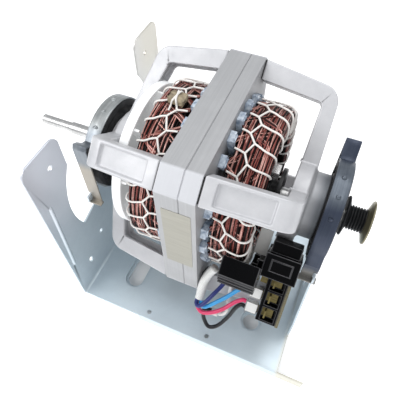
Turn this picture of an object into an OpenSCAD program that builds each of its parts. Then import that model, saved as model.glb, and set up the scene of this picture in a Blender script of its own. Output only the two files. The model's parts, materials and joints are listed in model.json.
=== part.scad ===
// Open-frame split-phase drive motor on a pressed cradle bracket.
// The motor axis runs along X: the belt pulley is at +X, the threaded blower end at -X.
// The origin lies on the standing surface, under the middle of the motor's whole length.
// Places along the axis are counted from the middle of the lamination stack.

/* [Bracket] */
// Height of the motor axis above the standing surface
axis_h = 127; // [120:0.5:145]
// Thickness of the bracket sheet
sheet_t = 1.6; // [1.2:0.1:2.2]
// Depth of the turned-down lips that the bracket stands on
lip_h = 12; // [9:0.5:16]
// Width of the bracket from front to back
bracket_w = 182; // [172:1:194]
// Distance between the inner faces of the two uprights
upright_gap = 184; // [181:0.5:188]
// Height of the horns above the motor axis
horn_top = 57; // [48:0.5:62]
// Width of one horn at its top
horn_w = 38; // [32:0.5:42]
// Radius of the round gap beside each horn
horn_gap_r = 65.5; // [62:0.5:68]
// Width of the post that carries the cradle
post_w = 77; // [72:0.5:84]
// Length of the tongue that the front lip has past the plate
tongue_l = 22; // [12:1:30]
// Radius of the dished bolt hole in the base plate
base_hole_r = 7; // [5:0.5:8]
// Radius of the small screw holes in the base plate
screw_hole_r = 2; // [1.5:0.1:2.6]
// Distance between the small screw holes along the front edge
screw_pitch = 56; // [48:1:64]
// Radius of the hole in each horn
horn_hole_r = 2.2; // [1.8:0.1:3]

/* [Stator] */
// Width of the lamination stack across its flats
stack_w = 140; // [136:1:146]
// Length of the lamination stack along the axis
stack_l = 27; // [24:0.5:30]
// Corner cut of the laminations
stack_cut = 12; // [10:0.5:13]
// Depth of the laminations from the stack's flat to the stator bore
core_depth = 27.7; // [27:0.1:28.5]
// Number of winding slots
slot_n = 24; // [24]
// Width of a slot
slot_w = 6; // [5:0.1:6.4]
// Least steel between the bottom of a slot and the stack's flat
yoke_t = 5.5; // [4.5:0.1:7]
// Length of a slot liner's cuff beyond the stack
cuff_l = 5; // [4:0.5:6]
// Length of the end winding's bundle along the axis
bundle_l = 21; // [19:0.5:23]
// Step from the bottom of the slots in to the outside of the bundle
bundle_step = 5.5; // [4.5:0.1:7.5]
// Diameter of the wound strand
strand_d = 3.2; // [2.6:0.1:3.4]
// Turns of the wound strand on each end
strand_turns = 8; // [5:1:8]
// Diameter of the lacing cord
lace_d = 1.2; // [0.8:0.1:1.4]

/* [Frames] */
// Width of a frame arm
arm_w = 19; // [16:0.5:21]
// Radial thickness of a frame arm at the stack
arm_t = 14; // [12:0.5:16]
// Thickness of the adhesive pad between a frame foot and the stack
bond_t = 0.8; // [0.5:0.1:1.2]
// Radius of the hub's seat for the mounting ring
seat_r = 21.9; // [20:0.1:23]
// How far each hub stands past its mounting ring
hub_over = 0.5; // [0.2:0.1:2]
// Depth of the panel recess in each arm
panel_d = 3.2; // [1.5:0.1:4]

/* [Mounting rings and straps] */
// Outer radius of the rubber ring
ring_r = 36.6; // [35:0.1:38]
// Width of the rubber ring
ring_w = 12; // [10:0.5:13]
// Distance from an upright's inner face to the middle of its ring
ring_inset = 3.5; // [3.4:0.1:4.5]
// Thickness of the clamp strap
strap_t = 1.2; // [0.8:0.1:1.6]
// Width of the clamp strap
strap_w = 11; // [9:0.5:11.5]

/* [Rotor] */
// Diameter of the shaft in its bearings
shaft_d = 12; // [11:0.1:13]
// Diameter of the blower end of the shaft
stub_d = 10; // [9:0.1:10.6]
// Diameter of the thread at the blower end
thread_d = 8; // [7:0.1:8.6]
// Length of the threaded end
thread_l = 29; // [22:1:36]
// Distance from the stack's middle to the threaded tip
tip_x = 159; // [150:1:165]
// Air gap between rotor and stator
air_gap = 0.5; // [0.4:0.05:0.6]
// Radius of the cooling fan
fan_r = 57; // [50:0.5:58]
// Number of fan blades
fan_n = 9; // [8:1:16]
// Outer radius of the pulley's belt ribs
rib_r = 9; // [8:0.1:10]
// Number of belt ribs
rib_n = 6; // [4:1:6]
// Radius of the pulley's dished outer flange
flange_r = 16; // [13:0.1:17]

/* [Start switch] */
// Travel of the governor collar along the shaft
collar_travel = 3.5; // [3:0.25:3.75]
// Radius of the governor collar's disc
collar_r = 20; // [18:0.25:22]
// Number of terminals in the block
terminal_n = 3; // [3]

/* [Hidden] */
$fn = 64;

// Clearances: pieces seated on each other, running fits, and pieces that move past each other
seat_gap = 0.1;
run_gap = 0.03;
move_gap = 0.4;

// Bracket places, from the standing surface
base_top = lip_h;
upright_in = upright_gap / 2;
upright_out = upright_in + sheet_t;
ring_x = upright_in - ring_inset;
hub_end = ring_x + ring_w / 2 + hub_over;
fold_r = 2;
cradle_r = ring_r + seat_gap;
horn_gap_drop = 12;
horn_corner = 8;
notch_z = -42;
shoulder_z = -35;
right_foot_w = 116;
dish_rim = 4;
dish_drop = 3;
base_hole_x = 59.5;
base_hole_y = 57;
slot_hole_x = 55;
slot_hole_y = 52;
slot_hole_l = 16;
screw_edge = 6;
horn_hole_y = 68;
horn_hole_z = 39;
post_hole_y = 46;
post_hole_z = -73;
key_hole_y = 69;
key_hole_z = -88;
bead_y = 82;
bead_top = 10;
bead_l = 75;
bead_r = 1.6;
bead_sink = 0.4;
lip_start = -36;
right_foot_h = 30;
window_z = -78;
lug_l = 8;
lug_low = -28;
lug_top = -22;
cradle_top = -20;

// Stack places along the axis, from the stack's middle
stack_end = stack_l / 2;
foot_x = stack_end + bond_t;
slot_pitch = 360 / slot_n;
bore_r = stack_w / 2 - core_depth;
slot_r = stack_w / 2 - yoke_t;
bundle_r = slot_r - bundle_step;
liner_t = 0.5;
cuff_fold = 1.2;
cuff_deep = 3;
cuff_short = 1;
cuff_end = stack_end + cuff_l;
plate_share = 0.74;
plate_reach = 0.47;
plate_t = 0.3;
plate_up = 10;
lace_lane = lace_d + 2 * 0.3;
bundle_x = cuff_end + lace_lane;
bundle_end = bundle_x + bundle_l;
bundle_in = bore_r + 3;
bundle_corner = 6;
strand_lift = strand_d / 2 + 0.65;
coil_r = bundle_r + strand_lift;
coil_end = bundle_end + strand_lift;
coil_in = bundle_in - strand_lift;
lace_lift = strand_d / 2 + lace_d / 2 + 0.3;
lace_r = coil_r + lace_lift;
lace_end = coil_end + lace_lift;
lace_in = coil_in - lace_lift;
lace_x = cuff_end + lace_lane / 2;
lace_wraps = slot_n / 2;

// Frame places
arm_r = stack_w / 2 * sqrt(2) - stack_cut / sqrt(2) - 1.2;
arm_fall = 6.5;
bend_r = 13;
bend_in_r = 4;
bend_start = 82;
channel_d = 4;
channel_wall = 3;
face_x = 70;
web_t = 11;
right_hub_in = 58.5;
left_hub_in = 70;
hub_r = 30;
bearing_l = 19;
bearing_r = 11;
felt_r = 16;
felt_l = 10.5;
bearing_set = 3.5;
washer_r = 9.5;
washer_t = 1.2;

// Rotor places
rotor_r = bore_r - air_gap;
ring_l = 10;
ring_step = 4.3;
end_ring_r = rotor_r - ring_step;
fan_back = 58;
fan_wall = 2;
fan_rim = 7;
pulley_x = hub_end + 3;
pulley_flange_l = 3;
groove_pitch = 1.95;
rib_l = rib_n * groove_pitch;
rib_x = pulley_x + pulley_flange_l;
pulley_end = rib_x + rib_l;
flange_l = 4;
pulley_seat_d = shaft_d - 2;
shaft_end = pulley_end + flange_l;
middle_x = (tip_x - shaft_end) / 2;

// Governor places
gov_x = stack_end + ring_l + 1.5;
gov_l = 7;
gov_hub_r = 10;
collar_x = 41;
collar_l = 10.5;
disc_t = 3;
collar_hub_r = 9.5;
collar_lip_r = 15;
collar_lip_t = 2;
pivot_r = 22;
pivot_x = collar_x - 3.4;
weight_w = 9;
spring_wire = 0.9;
spring_r = 7.9;
spring_curls = 4;

// Start switch places, in the frame of the lower front arm: x along the axis,
// v outwards along the arm's diagonal, w square to the arm's flank
flank_w = arm_w / 2 + seat_gap;
switch_split = 57;
switch_w1 = 36;
switch_x1 = 81.5;
switch_v0 = 35;
step_v = 8;
step_w = 15;
case_x0 = 31;
case_v0 = 50.4;
case_v1 = 66;
case_w0 = flank_w;
case_nose = [[67, 38], [57, 50], [43, 50], [case_v0, 30]];
ridge_n = 3;
ridge_h = 1;
flag_half = 4;
ear_t = 1.4;
switch_clear = lace_r + lace_d / 2 + 1;
lever_x = collar_x + collar_l + 0.3;
lever_t = 2;
lever_v = 47;
lever_w0 = 12;
lever_w1 = 20;
lever_tip_v = 12;
lever_plate_x = lace_end + lace_d / 2 + 0.8;
lever_plate_w = 9;
lever_plate_t = 1.6;
lever_reach = 30.72;
lever_swing = atan2(collar_travel, lever_reach);
lever_relief = lever_plate_x + lever_plate_w + (lever_v - switch_v0) * tan(lever_swing)
    + move_gap - switch_split;
pin_r = 1.5;
screw_r = 1.5;
screw_x = 65;
screw_vs = [38, 48];
screw_deep = 20;
block_x = 63;
block_l = 15;
block_v0 = 53;
switch_v1 = block_v0 - 0.5;
block_v1 = 91;
block_top = 20;
board_t = 2.2;
cell_pitch = (block_v1 - block_v0 - 2) / terminal_n;
tab_w = 6.3;
tab_t = 0.8;
tab_out = 5;
flag_l = 9;
function cell_v(i) = block_v0 + 1.5 + (i + 0.5) * cell_pitch;

// Routes of the leads in the switch's frame, chosen by hand
sleeve_d = 7;
lead_d = 3.2;
splice_r = 3;
splice_l = 5.4;
sleeve_route = [[24, 64.5, 21], [21, 70, 18.5], [18.5, 78, 16.5], [18, 86, 15.5],
    [18.4, 90.5, 15.5], [18.4, 94, 15.5]];
blue_route = [[53, 72.5, 15.2], [50, 72.5, 15.2], [45, 76, 15.8], [38, 84.5, 17], [31, 92, 17.5],
    [25.5, 97.5, 17.2], [21.8, 98.7, 16], [20.4, 97, 15.5], [20.4, 94.3, 15.5]];
red_route = [[53, 82.4, 15.2], [50, 82.4, 15.2], [45, 86.5, 15.6], [38, 95, 16], [31, 101, 15.5],
    [24, 104.5, 14.2], [19.2, 102.5, 13.7], [17.4, 98, 13.8], [17.4, 94.3, 13.8]];
black_route = [[53, 86.5, 15.2], [50, 86.5, 15.2], [46.5, 92, 13], [43, 103, 8], [37, 115, 4],
    [30.5, 119.5, 3], [25.5, 115, 4], [23, 107.5, 7], [24.5, 103.4, 9],
    [27, 102.5, 9.5], [29.5, 102.5, 9.5]];
// The navy lead and the tail come up between the end winding and the switch, and their ends follow both
winding_v = max(coil_r + 6, case_v1 + 1.25);
function up_to(knee, share) = winding_v + (knee[1] - winding_v) * share;
navy_knee = [23.5, 94.5, 20.8];
navy_route = [[34.5, up_to(navy_knee, 0.01), 12], [34.5, up_to(navy_knee, 0.13), 12],
    [32, up_to(navy_knee, 0.4), 14.5], [28, up_to(navy_knee, 0.69), 18.5], navy_knee,
    [19.8, 98.2, 20], [17.4, 97.2, 17.6], [17.4, 94.3, 17.3]];
tail_knee = [40.4, 93.4, 11.2];
tail_route = [[35.4, 102.5, 9.5], [37.2, 102.2, 9.6], [39.2, 100.6, 9.9], [40.4, 97.8, 10.5],
    tail_knee, [39.6, up_to(tail_knee, 0.74), 11.6], [38.8, up_to(tail_knee, 0.47), 11.6],
    [38.4, up_to(tail_knee, 0.22), 11.6], [38.4, winding_v, 11.6]];

// Moves the stack's middle away from the origin, so that the origin is under the middle of the length
module placed() {
    translate([middle_x, 0, 0]) children();
}

module on_axis() {
    translate([0, 0, axis_h]) children();
}

// Turns a revolved form so that its axis lies along X
module turned() {
    rotate([0, 90, 0]) children();
}

// Draws at one end of the motor: side is 1 at the pulley end and -1 at the blower end
module at_end(side) {
    if (side > 0) children();
    else mirror([1, 0, 0]) children();
}

// Repeats at the four diagonal corners
module at_corners() {
    for (a = [45 : 90 : 315]) rotate([a, 0, 0]) children();
}

// The switch's own frame: X along the axis, Y outwards along the lower front arm, Z to the viewer
module switch_frame() {
    on_axis() rotate([225, 0, 0]) mirror([0, 0, 1]) children();
}

module round_rect(w, h, r) {
    square([w - 2 * r, h], center = true);
    square([w, h - 2 * r], center = true);
    for (sx = [-1, 1], sy = [-1, 1]) translate([sx * (w / 2 - r), sy * (h / 2 - r)]) circle(r);
}

function arc(c, r, a0, a1, n) = [for (i = [0 : n]) let (a = a0 + (a1 - a0) * i / n)
    c + r * [cos(a), sin(a)]];
function unit(v) = v / norm(v);

// Points of a smooth curve through a list of points, with k steps between each pair
function curve(p, k) = [for (i = [0 : len(p) - 2], j = [0 : k - 1]) let (
    a = p[max(i - 1, 0)], b = p[i], c = p[i + 1], d = p[min(i + 2, len(p) - 1)], t = j / k)
    0.5 * (2 * b + (c - a) * t + (2 * a - 5 * b + 4 * c - d) * t * t + (3 * b - a - 3 * c + d) * t * t * t),
    p[len(p) - 1]];

function tangent(p, i) = unit(p[min(i + 1, len(p) - 1)] - p[max(i - 1, 0)]);
function first_normal(t) = unit(cross(t, abs(t[2]) < 0.8 ? [0, 0, 1] : [0, 1, 0]));
function carried(n, t) = unit(n - t * (n * t));

// A round tube swept along points, one ring at each point
module tube(p, d, sides) {
    last = len(p) - 1;
    normals = [for (i = 0, n = first_normal(tangent(p, 0)); i <= last;
        i = i + 1, n = carried(n, tangent(p, min(i, last)))) n];
    rings = [for (i = [0 : last]) let (n = normals[i], b = cross(tangent(p, i), n))
        for (s = [0 : sides - 1]) let (a = 360 * s / sides) p[i] + d / 2 * (n * cos(a) + b * sin(a))];
    ends = [p[0], p[last]];
    walls = [for (i = [0 : last - 1], s = [0 : sides - 1]) let (
        a = i * sides + s, b = i * sides + (s + 1) % sides)
        each [[a, a + sides, b], [b, a + sides, b + sides]]];
    caps = [for (s = [0 : sides - 1]) let (e = len(rings), z = last * sides) each [
        [e, s, (s + 1) % sides], [e + 1, z + (s + 1) % sides, z + s]]];
    polyhedron(concat(rings, ends), concat(walls, caps));
}

// A flat band of even thickness along points in a plane
module band(p, t) {
    last = len(p) - 1;
    side = [for (i = [0 : last]) let (
        u = i == 0 ? unit(p[1] - p[0]) : unit(p[i] - p[i - 1]),
        v = i == last ? u : unit(p[i + 1] - p[i]),
        n = unit([-u[1] - v[1], u[0] + v[0]]))
        n * t / 2 / max(0.5, n * [-u[1], u[0]])];
    polygon(concat([for (i = [0 : last]) p[i] + side[i]], [for (i = [last : -1 : 0]) p[i] - side[i]]));
}

// Bracket: base plate, left upright with two horns, right upright, cradles and lips
module mounting_bracket() {
    color("lightsteelblue") difference() {
        union() {
            base_plate();
            upright(-1) left_outline();
            upright(1) right_outline();
            for (side = [-1, 1]) cradle(side);
            lips();
            horn_beads();
        }
        base_holes();
    }
}

module base_plate() {
    dish = base_hole_r + dish_rim;
    deep = base_top - sheet_t - dish_drop;
    translate([-upright_out, -bracket_w / 2, base_top - sheet_t])
        cube([2 * upright_out, bracket_w, sheet_t]);
    for (sy = [-1, 1]) {
        translate([base_hole_x, sy * base_hole_y, deep]) cylinder(r = dish, h = dish_drop);
        translate([-slot_hole_x, sy * slot_hole_y, deep]) linear_extrude(dish_drop)
            round_rect(2 * dish, 2 * dish + slot_hole_l, dish - 0.01);
    }
    for (side = [-1, 1]) fold_fillet(side, side < 0 ? bracket_w : right_foot_w);
}

module fold_fillet(side, w) {
    at_end(side) translate([upright_in - fold_r, w / 2, base_top]) rotate([90, 0, 0]) linear_extrude(w)
        difference() {
            square(fold_r);
            translate([0, fold_r]) circle(fold_r);
        }
}

module base_holes() {
    dish = base_hole_r + dish_rim - sheet_t;
    deep = base_top - sheet_t - dish_drop;
    for (sy = [-1, 1]) {
        translate([base_hole_x, sy * base_hole_y, deep - 1]) cylinder(r = base_hole_r, h = lip_h);
        translate([base_hole_x, sy * base_hole_y, deep + sheet_t]) cylinder(r = dish, h = lip_h);
        translate([-slot_hole_x, sy * slot_hole_y, deep - 1]) linear_extrude(lip_h)
            round_rect(2 * base_hole_r, 2 * base_hole_r + slot_hole_l, base_hole_r - 0.01);
        translate([-slot_hole_x, sy * slot_hole_y, deep + sheet_t]) linear_extrude(lip_h)
            round_rect(2 * dish, 2 * dish + slot_hole_l, dish - 0.01);
        for (sx = [-1, 1]) translate([sx * screw_pitch / 2, sy * (bracket_w / 2 - screw_edge), 0])
            cylinder(r = screw_hole_r, h = 2 * lip_h);
    }
}

// Stands an outline in the plane of an upright: its X runs to the back and its Y up from the motor axis
module upright(side) {
    at_end(side) translate([upright_out, 0, axis_h]) rotate([90, 0, -90]) mirror([1, 0, 0])
        linear_extrude(sheet_t) children();
}

module left_outline() {
    foot = base_top - sheet_t - axis_h;
    difference() {
        translate([-bracket_w / 2, foot]) square([bracket_w, horn_top - foot]);
        for (s = [-1, 1]) scale([s, 1]) {
            horn_corner_cut(bracket_w / 2, 1);
            horn_corner_cut(bracket_w / 2 - horn_w, -1);
            translate([horn_hole_y, horn_hole_z]) circle(horn_hole_r);
            translate([post_hole_y, post_hole_z]) circle(horn_hole_r);
            translate([key_hole_y, key_hole_z]) round_rect(4, 7, 1.9);
        }
        horn_gap();
    }
    ears();
}

module horn_corner_cut(y, s) {
    translate([y - s * horn_corner, horn_top - horn_corner]) difference() {
        translate([s > 0 ? 0 : -horn_corner - 0.01, 0]) square(horn_corner + 0.01);
        circle(horn_corner);
    }
}

// The open middle of the left upright: a slot between the horns, a round gap, and the post left standing
module horn_gap() {
    inner = bracket_w / 2 - horn_w;
    translate([-inner, 0]) square([2 * inner, horn_top + 1]);
    difference() {
        translate([0, -horn_gap_drop]) circle(horn_gap_r);
        translate([-horn_gap_r, horn_top / 2]) square(2 * horn_gap_r);
        translate([-inner, 0]) square([2 * inner, horn_top]);
        post();
    }
}

module post() {
    half = post_w / 2;
    deep = 2 * notch_z;
    difference() {
        polygon([[-half, lug_top], [half, lug_top], [half, shoulder_z], [horn_gap_r, notch_z],
            [horn_gap_r, deep], [-horn_gap_r, deep], [-horn_gap_r, notch_z], [-half, shoulder_z]]);
        circle(cradle_r);
    }
}

module right_outline() {
    foot = base_top - sheet_t - axis_h;
    half = post_w / 2;
    foot_half = right_foot_w / 2;
    difference() {
        polygon([[-foot_half, foot], [foot_half, foot], [foot_half, foot + right_foot_h],
            [half, shoulder_z], [half, lug_top], [-half, lug_top], [-half, shoulder_z],
            [-foot_half, foot + right_foot_h]]);
        circle(cradle_r);
        translate([0, window_z]) round_rect(44, 26, 8);
    }
    ears();
}

// Small lugs beside the cradle that the straps hook under
module ears() {
    for (s = [-1, 1]) scale([s, 1]) translate([post_w / 2 - 1, lug_low])
        square([lug_l + 1, lug_top - lug_low]);
}

// Curved cradle flange that the rubber ring sits in
module cradle(side) {
    in = ring_x - strap_w / 2;
    on_axis() at_end(side) translate([in, 0, 0]) turned() linear_extrude(upright_out - in)
        difference() {
            circle(cradle_r + sheet_t);
            circle(cradle_r);
            translate([-2 * cradle_r, -2 * cradle_r]) square([2 * cradle_r - cradle_top, 4 * cradle_r]);
        }
}

// Turned-down lips: the back one runs full length, the front one ends in the tongue
module lips() {
    translate([lip_start, -bracket_w / 2, 0]) cube([upright_out + tongue_l - lip_start, sheet_t, lip_h]);
    translate([-upright_out, bracket_w / 2 - sheet_t, 0]) cube([2 * upright_out, sheet_t, lip_h]);
}

// Two pressed stiffening beads on the left upright
module horn_beads() {
    on_axis() for (sy = [-1, 1]) translate([-upright_in - bead_sink, sy * bead_y, bead_top])
        rotate([180 + sy * 3, 0, 0]) {
            cylinder(r = bead_r, h = bead_l);
            sphere(bead_r);
            translate([0, 0, bead_l]) sphere(bead_r);
        }
}

// Clamp strap: an arch over the ring, a shoulder with a long leg on one side, a hook on the other.
// The leg is in front at the blower end and behind at the pulley end.
module left_clamp_strap() {
    color("lightgray") on_axis() mirror([1, 0, 0]) clamp_strap(-1, [-14, 9, 30]);
}

module right_clamp_strap() {
    color("slategray") on_axis() clamp_strap(1, [-45, -22.5, 0]);
}

module clamp_strap(leg, dimples) {
    mid = ring_r + seat_gap + strap_t / 2;
    leg_y = post_w / 2 + 3;
    neck_z = lug_top + 2;
    arch_end = 48;
    arch = [for (a = [-88 : 8 : arch_end]) mid * [sin(a), cos(a)]];
    hook = [[-leg_y, neck_z], [-leg_y, -12], [-mid - 0.5, -4]];
    shoulder = [[mid * sin(arch_end) + 4, mid * cos(arch_end) + 1.5], [leg_y - 5, 32], [leg_y - 1.5, 34],
        [leg_y, 31], [leg_y, neck_z]];
    translate([ring_x, 0, 0]) scale([1, leg, 1]) {
        rotate([90, 0, 90]) translate([0, 0, -strap_w / 2]) linear_extrude(strap_w)
            band(concat(hook, arch, shoulder), strap_t);
        for (s = [-1, 1]) scale([1, s, 1]) strap_foot(leg_y, neck_z);
        for (a = dimples) rotate([-a, 0, 0]) translate([0, 0, mid + strap_t / 2 - 0.2])
            strap_dimple();
    }
}

// Narrow neck beside the bracket's lug, and the wide foot that hooks under it
module strap_foot(leg_y, neck_z) {
    neck_w = upright_in - ring_x + strap_w / 2 - 0.5;
    low = lug_low - 0.2 - strap_t;
    translate([-strap_w / 2, leg_y - strap_t / 2, low]) cube([neck_w, strap_t, neck_z - low + 0.5]);
    translate([-strap_w / 2 - 1, leg_y - strap_t / 2, low]) cube([strap_w + 2, lug_l - 3, strap_t]);
}

// A small lanced dimple in the strap
module strap_dimple() {
    intersection() {
        sphere(r = 1.8);
        translate([-2, -2, 0]) cube([4, 2.6, 2]);
    }
}

module left_mount_ring() {
    color("dimgray") on_axis() mirror([1, 0, 0]) mount_ring();
}

module right_mount_ring() {
    color("dimgray") on_axis() mount_ring();
}

// Resilient rubber ring with a relief groove in each side
module mount_ring() {
    half = ring_w / 2;
    bore = seat_r + seat_gap;
    mid = (ring_r + bore) / 2;
    translate([ring_x, 0, 0]) turned() rotate_extrude($fn = 96) difference() {
        translate([bore, -half]) square([ring_r - bore, ring_w]);
        for (s = [-1, 1]) translate([mid, s * half]) circle(2.6);
    }
}

module left_end_frame() {
    color("whitesmoke") on_axis() mirror([1, 0, 0]) difference() {
        end_frame(left_hub_in);
        at_corners() arm_channel(left_hub_in);
    }
}

module right_end_frame() {
    color("whitesmoke") difference() {
        on_axis() end_frame(right_hub_in);
        screw_path(screw_r + seat_gap, 1);
    }
}

// Die-cast end frame: four bent arms, a hub with the bearing housing and a seat for the rubber ring
module end_frame(hub_in) {
    difference() {
        union() {
            at_corners() frame_arm(hub_in);
            turned() rotate_extrude($fn = 96) polygon(hub_profile(hub_in));
        }
        at_corners() panel_recess();
        turned() hub_bore(hub_in);
    }
}

// Lean of an arm's leg towards the hub, and the centres of the bend's outer and inner faces
function arm_lean(hub_in) = atan2(hub_in - right_hub_in, 40);
function bend_out(hub_in) = [face_x - bend_r - (hub_in - right_hub_in) * 0.15, arm_r - arm_fall - bend_r];
function bend_in(hub_in) = bend_out(hub_in) + [-1.5, -3];

// Side view of one arm: axial length and radius
function arm_profile(hub_in) = let (hub_out = web_end(hub_in) + 1.5, lean = arm_lean(hub_in))
    concat([[foot_x, arm_r]], arc(bend_out(hub_in), bend_r, bend_start, lean, 8),
    [[hub_out, hub_r - 6], [hub_out, 14], [hub_in, 14], [hub_in, hub_r - 6]],
    arc(bend_in(hub_in), bend_in_r, lean, bend_start, 5), [[foot_x, arm_r - arm_t]]);

// Channel along the inner side of an arm, from its foot round the bend and down the leg
module arm_channel(hub_in) {
    start = foot_x + 4;
    stop_r = hub_r + 6;
    stop_x = hub_in - (stop_r - hub_r + 6) * tan(arm_lean(hub_in));
    width = arm_w - 2 * channel_wall;
    outline = concat([[start, arm_r - arm_t - 3], [start, arm_r - arm_t + channel_d]],
        arc(bend_in(hub_in), bend_in_r + channel_d, bend_start, arm_lean(hub_in), 5),
        [[stop_x + channel_d, stop_r], [stop_x - 3, stop_r], bend_in(hub_in)]);
    translate([0, width / 2, 0]) rotate([90, 0, 0]) linear_extrude(width) polygon(outline);
}

module frame_arm(hub_in) {
    translate([0, arm_w / 2, 0]) rotate([90, 0, 0]) linear_extrude(arm_w) polygon(arm_profile(hub_in));
}

// Sunk panel in the outer face of an arm, with raised borders left round it
module panel_recess() {
    border = 2.4;
    start = foot_x + 8;
    long = face_x - bend_r - start;
    fall = atan2(arm_fall, face_x - bend_r - foot_x);
    translate([start, 0, arm_r - 0.9]) rotate([0, fall, 0]) translate([long / 2, 0, -panel_d])
        linear_extrude(panel_d + 5) round_rect(long, arm_w - 2 * border, 1.5);
}

function web_end(hub_in) = min(hub_in + web_t, ring_x - ring_w / 2 - 5);
function hub_profile(hub_in) = [
    [0, hub_in], [hub_r, hub_in], [hub_r, web_end(hub_in)], [seat_r + 2.6, web_end(hub_in) + 2.5],
    [seat_r + 2.6, ring_x - ring_w / 2 - seat_gap], [seat_r, ring_x - ring_w / 2 - seat_gap],
    [seat_r, hub_end - 1], [seat_r - 1, hub_end], [0, hub_end]];

module hub_bore(hub_in) {
    translate([0, 0, hub_in - 1]) cylinder(r = felt_r, h = bearing_set + bearing_l - 4);
    translate([0, 0, hub_in - 1]) cylinder(r = bearing_r + seat_gap, h = bearing_set + bearing_l + 1);
    translate([0, 0, hub_in - 1]) cylinder(r = shaft_d / 2 + move_gap, h = hub_end);
}

// Eight adhesive pads between the frame feet and the stack
module frame_bond_pads() {
    color("black") on_axis() for (side = [-1, 1]) at_end(side) at_corners()
        translate([stack_end, -arm_w / 2 + 1.5, arm_r - arm_t + 0.5]) cube([bond_t, arm_w - 3, arm_t - 1]);
}

// Laminations: a square with cut corners, a bore and winding slots, with a fine joint line round it
module stator_stack() {
    joint = 0.6;
    joint_x = 2;
    color("silver") on_axis() turned() difference() {
        translate([0, 0, -stack_end]) linear_extrude(stack_l) lamination();
        translate([0, 0, joint_x]) linear_extrude(joint) difference() {
            square(2 * stack_w, center = true);
            stack_outline(0.4);
        }
    }
}

module stack_outline(inset) {
    w = stack_w / 2 - inset;
    k = w - stack_cut + inset / 2;
    polygon([[w, k], [k, w], [-k, w], [-w, k], [-w, -k], [-k, -w], [k, -w], [w, -k]]);
}

module lamination() {
    difference() {
        stack_outline(0);
        circle(bore_r, $fn = 128);
        for (i = [0 : slot_n - 1]) rotate(i * slot_pitch) slot_outline();
    }
}

// One slot, drawn along X: a narrow mouth, then a parallel slot
module slot_outline() {
    mouth = 2.4;
    translate([bore_r - 1, -mouth / 2]) square([5, mouth]);
    translate([bundle_in, -slot_w / 2]) square([slot_r - bundle_in, slot_w]);
}

// Folded insulating liners, one in each slot, each with a thick folded cuff at both ends
module slot_liners() {
    skin = 0.08;
    in = skin + liner_t;
    deep = slot_r - bundle_in;
    color("lightsteelblue") on_axis() turned() for (i = [0 : slot_n - 1]) rotate(i * slot_pitch) {
        translate([bundle_in, -slot_w / 2, -cuff_end]) linear_extrude(2 * cuff_end) difference() {
            translate([skin, skin]) square([deep - 2 * skin, slot_w - 2 * skin]);
            translate([-1, in]) square([deep + 1 - in, slot_w - 2 * in]);
        }
        for (side = [-1, 1]) at_height(side * (stack_end + seat_gap), side)
            linear_extrude(cuff_l - cuff_short) cuff_fold_outline(skin + liner_t / 2);
    }
}

// Puts a piece at a height on the axis, upwards or downwards
module at_height(z, side) {
    translate([0, 0, z]) mirror([0, 0, side < 0 ? 1 : 0]) children();
}

// The fold of a cuff: a thick U round the end of the liner
module cuff_fold_outline(in) {
    start = bundle_r - cuff_deep;
    difference() {
        translate([start, -slot_w / 2 - cuff_fold])
            square([slot_r + cuff_fold - start, slot_w + 2 * cuff_fold]);
        translate([start - 1, in - slot_w / 2]) square([slot_r - in - start + 1, slot_w - 2 * in]);
    }
}

// Winding core: conductors through the slots, joined to a rounded bundle at each end
module stator_winding() {
    gap = 0.1 + liner_t + 0.1;
    color("sienna") on_axis() turned() {
        for (i = [0 : slot_n - 1]) rotate(i * slot_pitch)
            translate([bundle_in + 1, -slot_w / 2 + gap, -bundle_x - 3])
                cube([bundle_r - bundle_in - 2, slot_w - 2 * gap, 2 * bundle_x + 6]);
        for (s = [-1, 1]) scale([1, 1, s]) rotate_extrude($fn = 96) bundle_section();
    }
}

module bundle_section() {
    w = bundle_r - bundle_in;
    c = min(bundle_corner, w - 1);
    translate([bundle_in, bundle_x]) square([w - c, bundle_l]);
    translate([bundle_in, bundle_x]) square([w, bundle_l - c]);
    translate([bundle_r - c, bundle_end - c]) circle(c);
}

// Place on the bundle's surface, as axial place and radius, at distance s from its stack side
function coil_place(s) = let (
    bend = bundle_corner + strand_lift, flat = bundle_l - bundle_corner - strand_d, turn = bend * PI / 2)
    s < flat ? [bundle_x + strand_d + s, coil_r]
    : s < flat + turn ? let (a = (s - flat) / bend * 180 / PI)
        [bundle_end - bundle_corner + bend * sin(a), bundle_r - bundle_corner + bend * cos(a)]
    : [coil_end, bundle_r - bundle_corner - (s - flat - turn)];
coil_run = bundle_l - bundle_corner - strand_d + (bundle_corner + strand_lift) * PI / 2
    + bundle_r - bundle_corner - bundle_in - strand_d / 2;
function on_turn(x, r, a) = [x, r * sin(a), r * cos(a)];

// Centre line of the wound strand: out of the stack, round the bundle, and back along its bore
strand_rings = 24;
strand_count = strand_turns * strand_rings;
strand_start = stack_end + 0.3;
strand_turn_in = strand_lift / sqrt(2);
strand_path = concat(
    [for (x = [strand_start, strand_start + strand_d]) on_turn(x, coil_r, -slot_pitch / 2)],
    [for (i = [0 : strand_count]) let (q = coil_place(coil_run * i / strand_count))
        on_turn(q[0], q[1], 360 * i / strand_rings)],
    [on_turn(coil_end, bundle_in, 6),
    on_turn(bundle_end + strand_turn_in, bundle_in - strand_turn_in, 11), on_turn(bundle_end, coil_in, 16)],
    [for (x = [bundle_end - 5, strand_start + strand_d, strand_start])
        on_turn(x, coil_in, slot_pitch * 1.5)]);
strand_skip = 6;
strand_gap = min([for (i = [0 : len(strand_path) - 1], j = [i + strand_skip : 1 : len(strand_path) - 1])
    norm(strand_path[i] - strand_path[j])]) - strand_d;
echo(strand_gap = strand_gap);

module left_winding_turns() {
    color("peru") on_axis() mirror([1, 0, 0]) tube(strand_path, strand_d, 6);
}

module right_winding_turns() {
    color("peru") on_axis() tube(strand_path, strand_d, 6);
}

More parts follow.
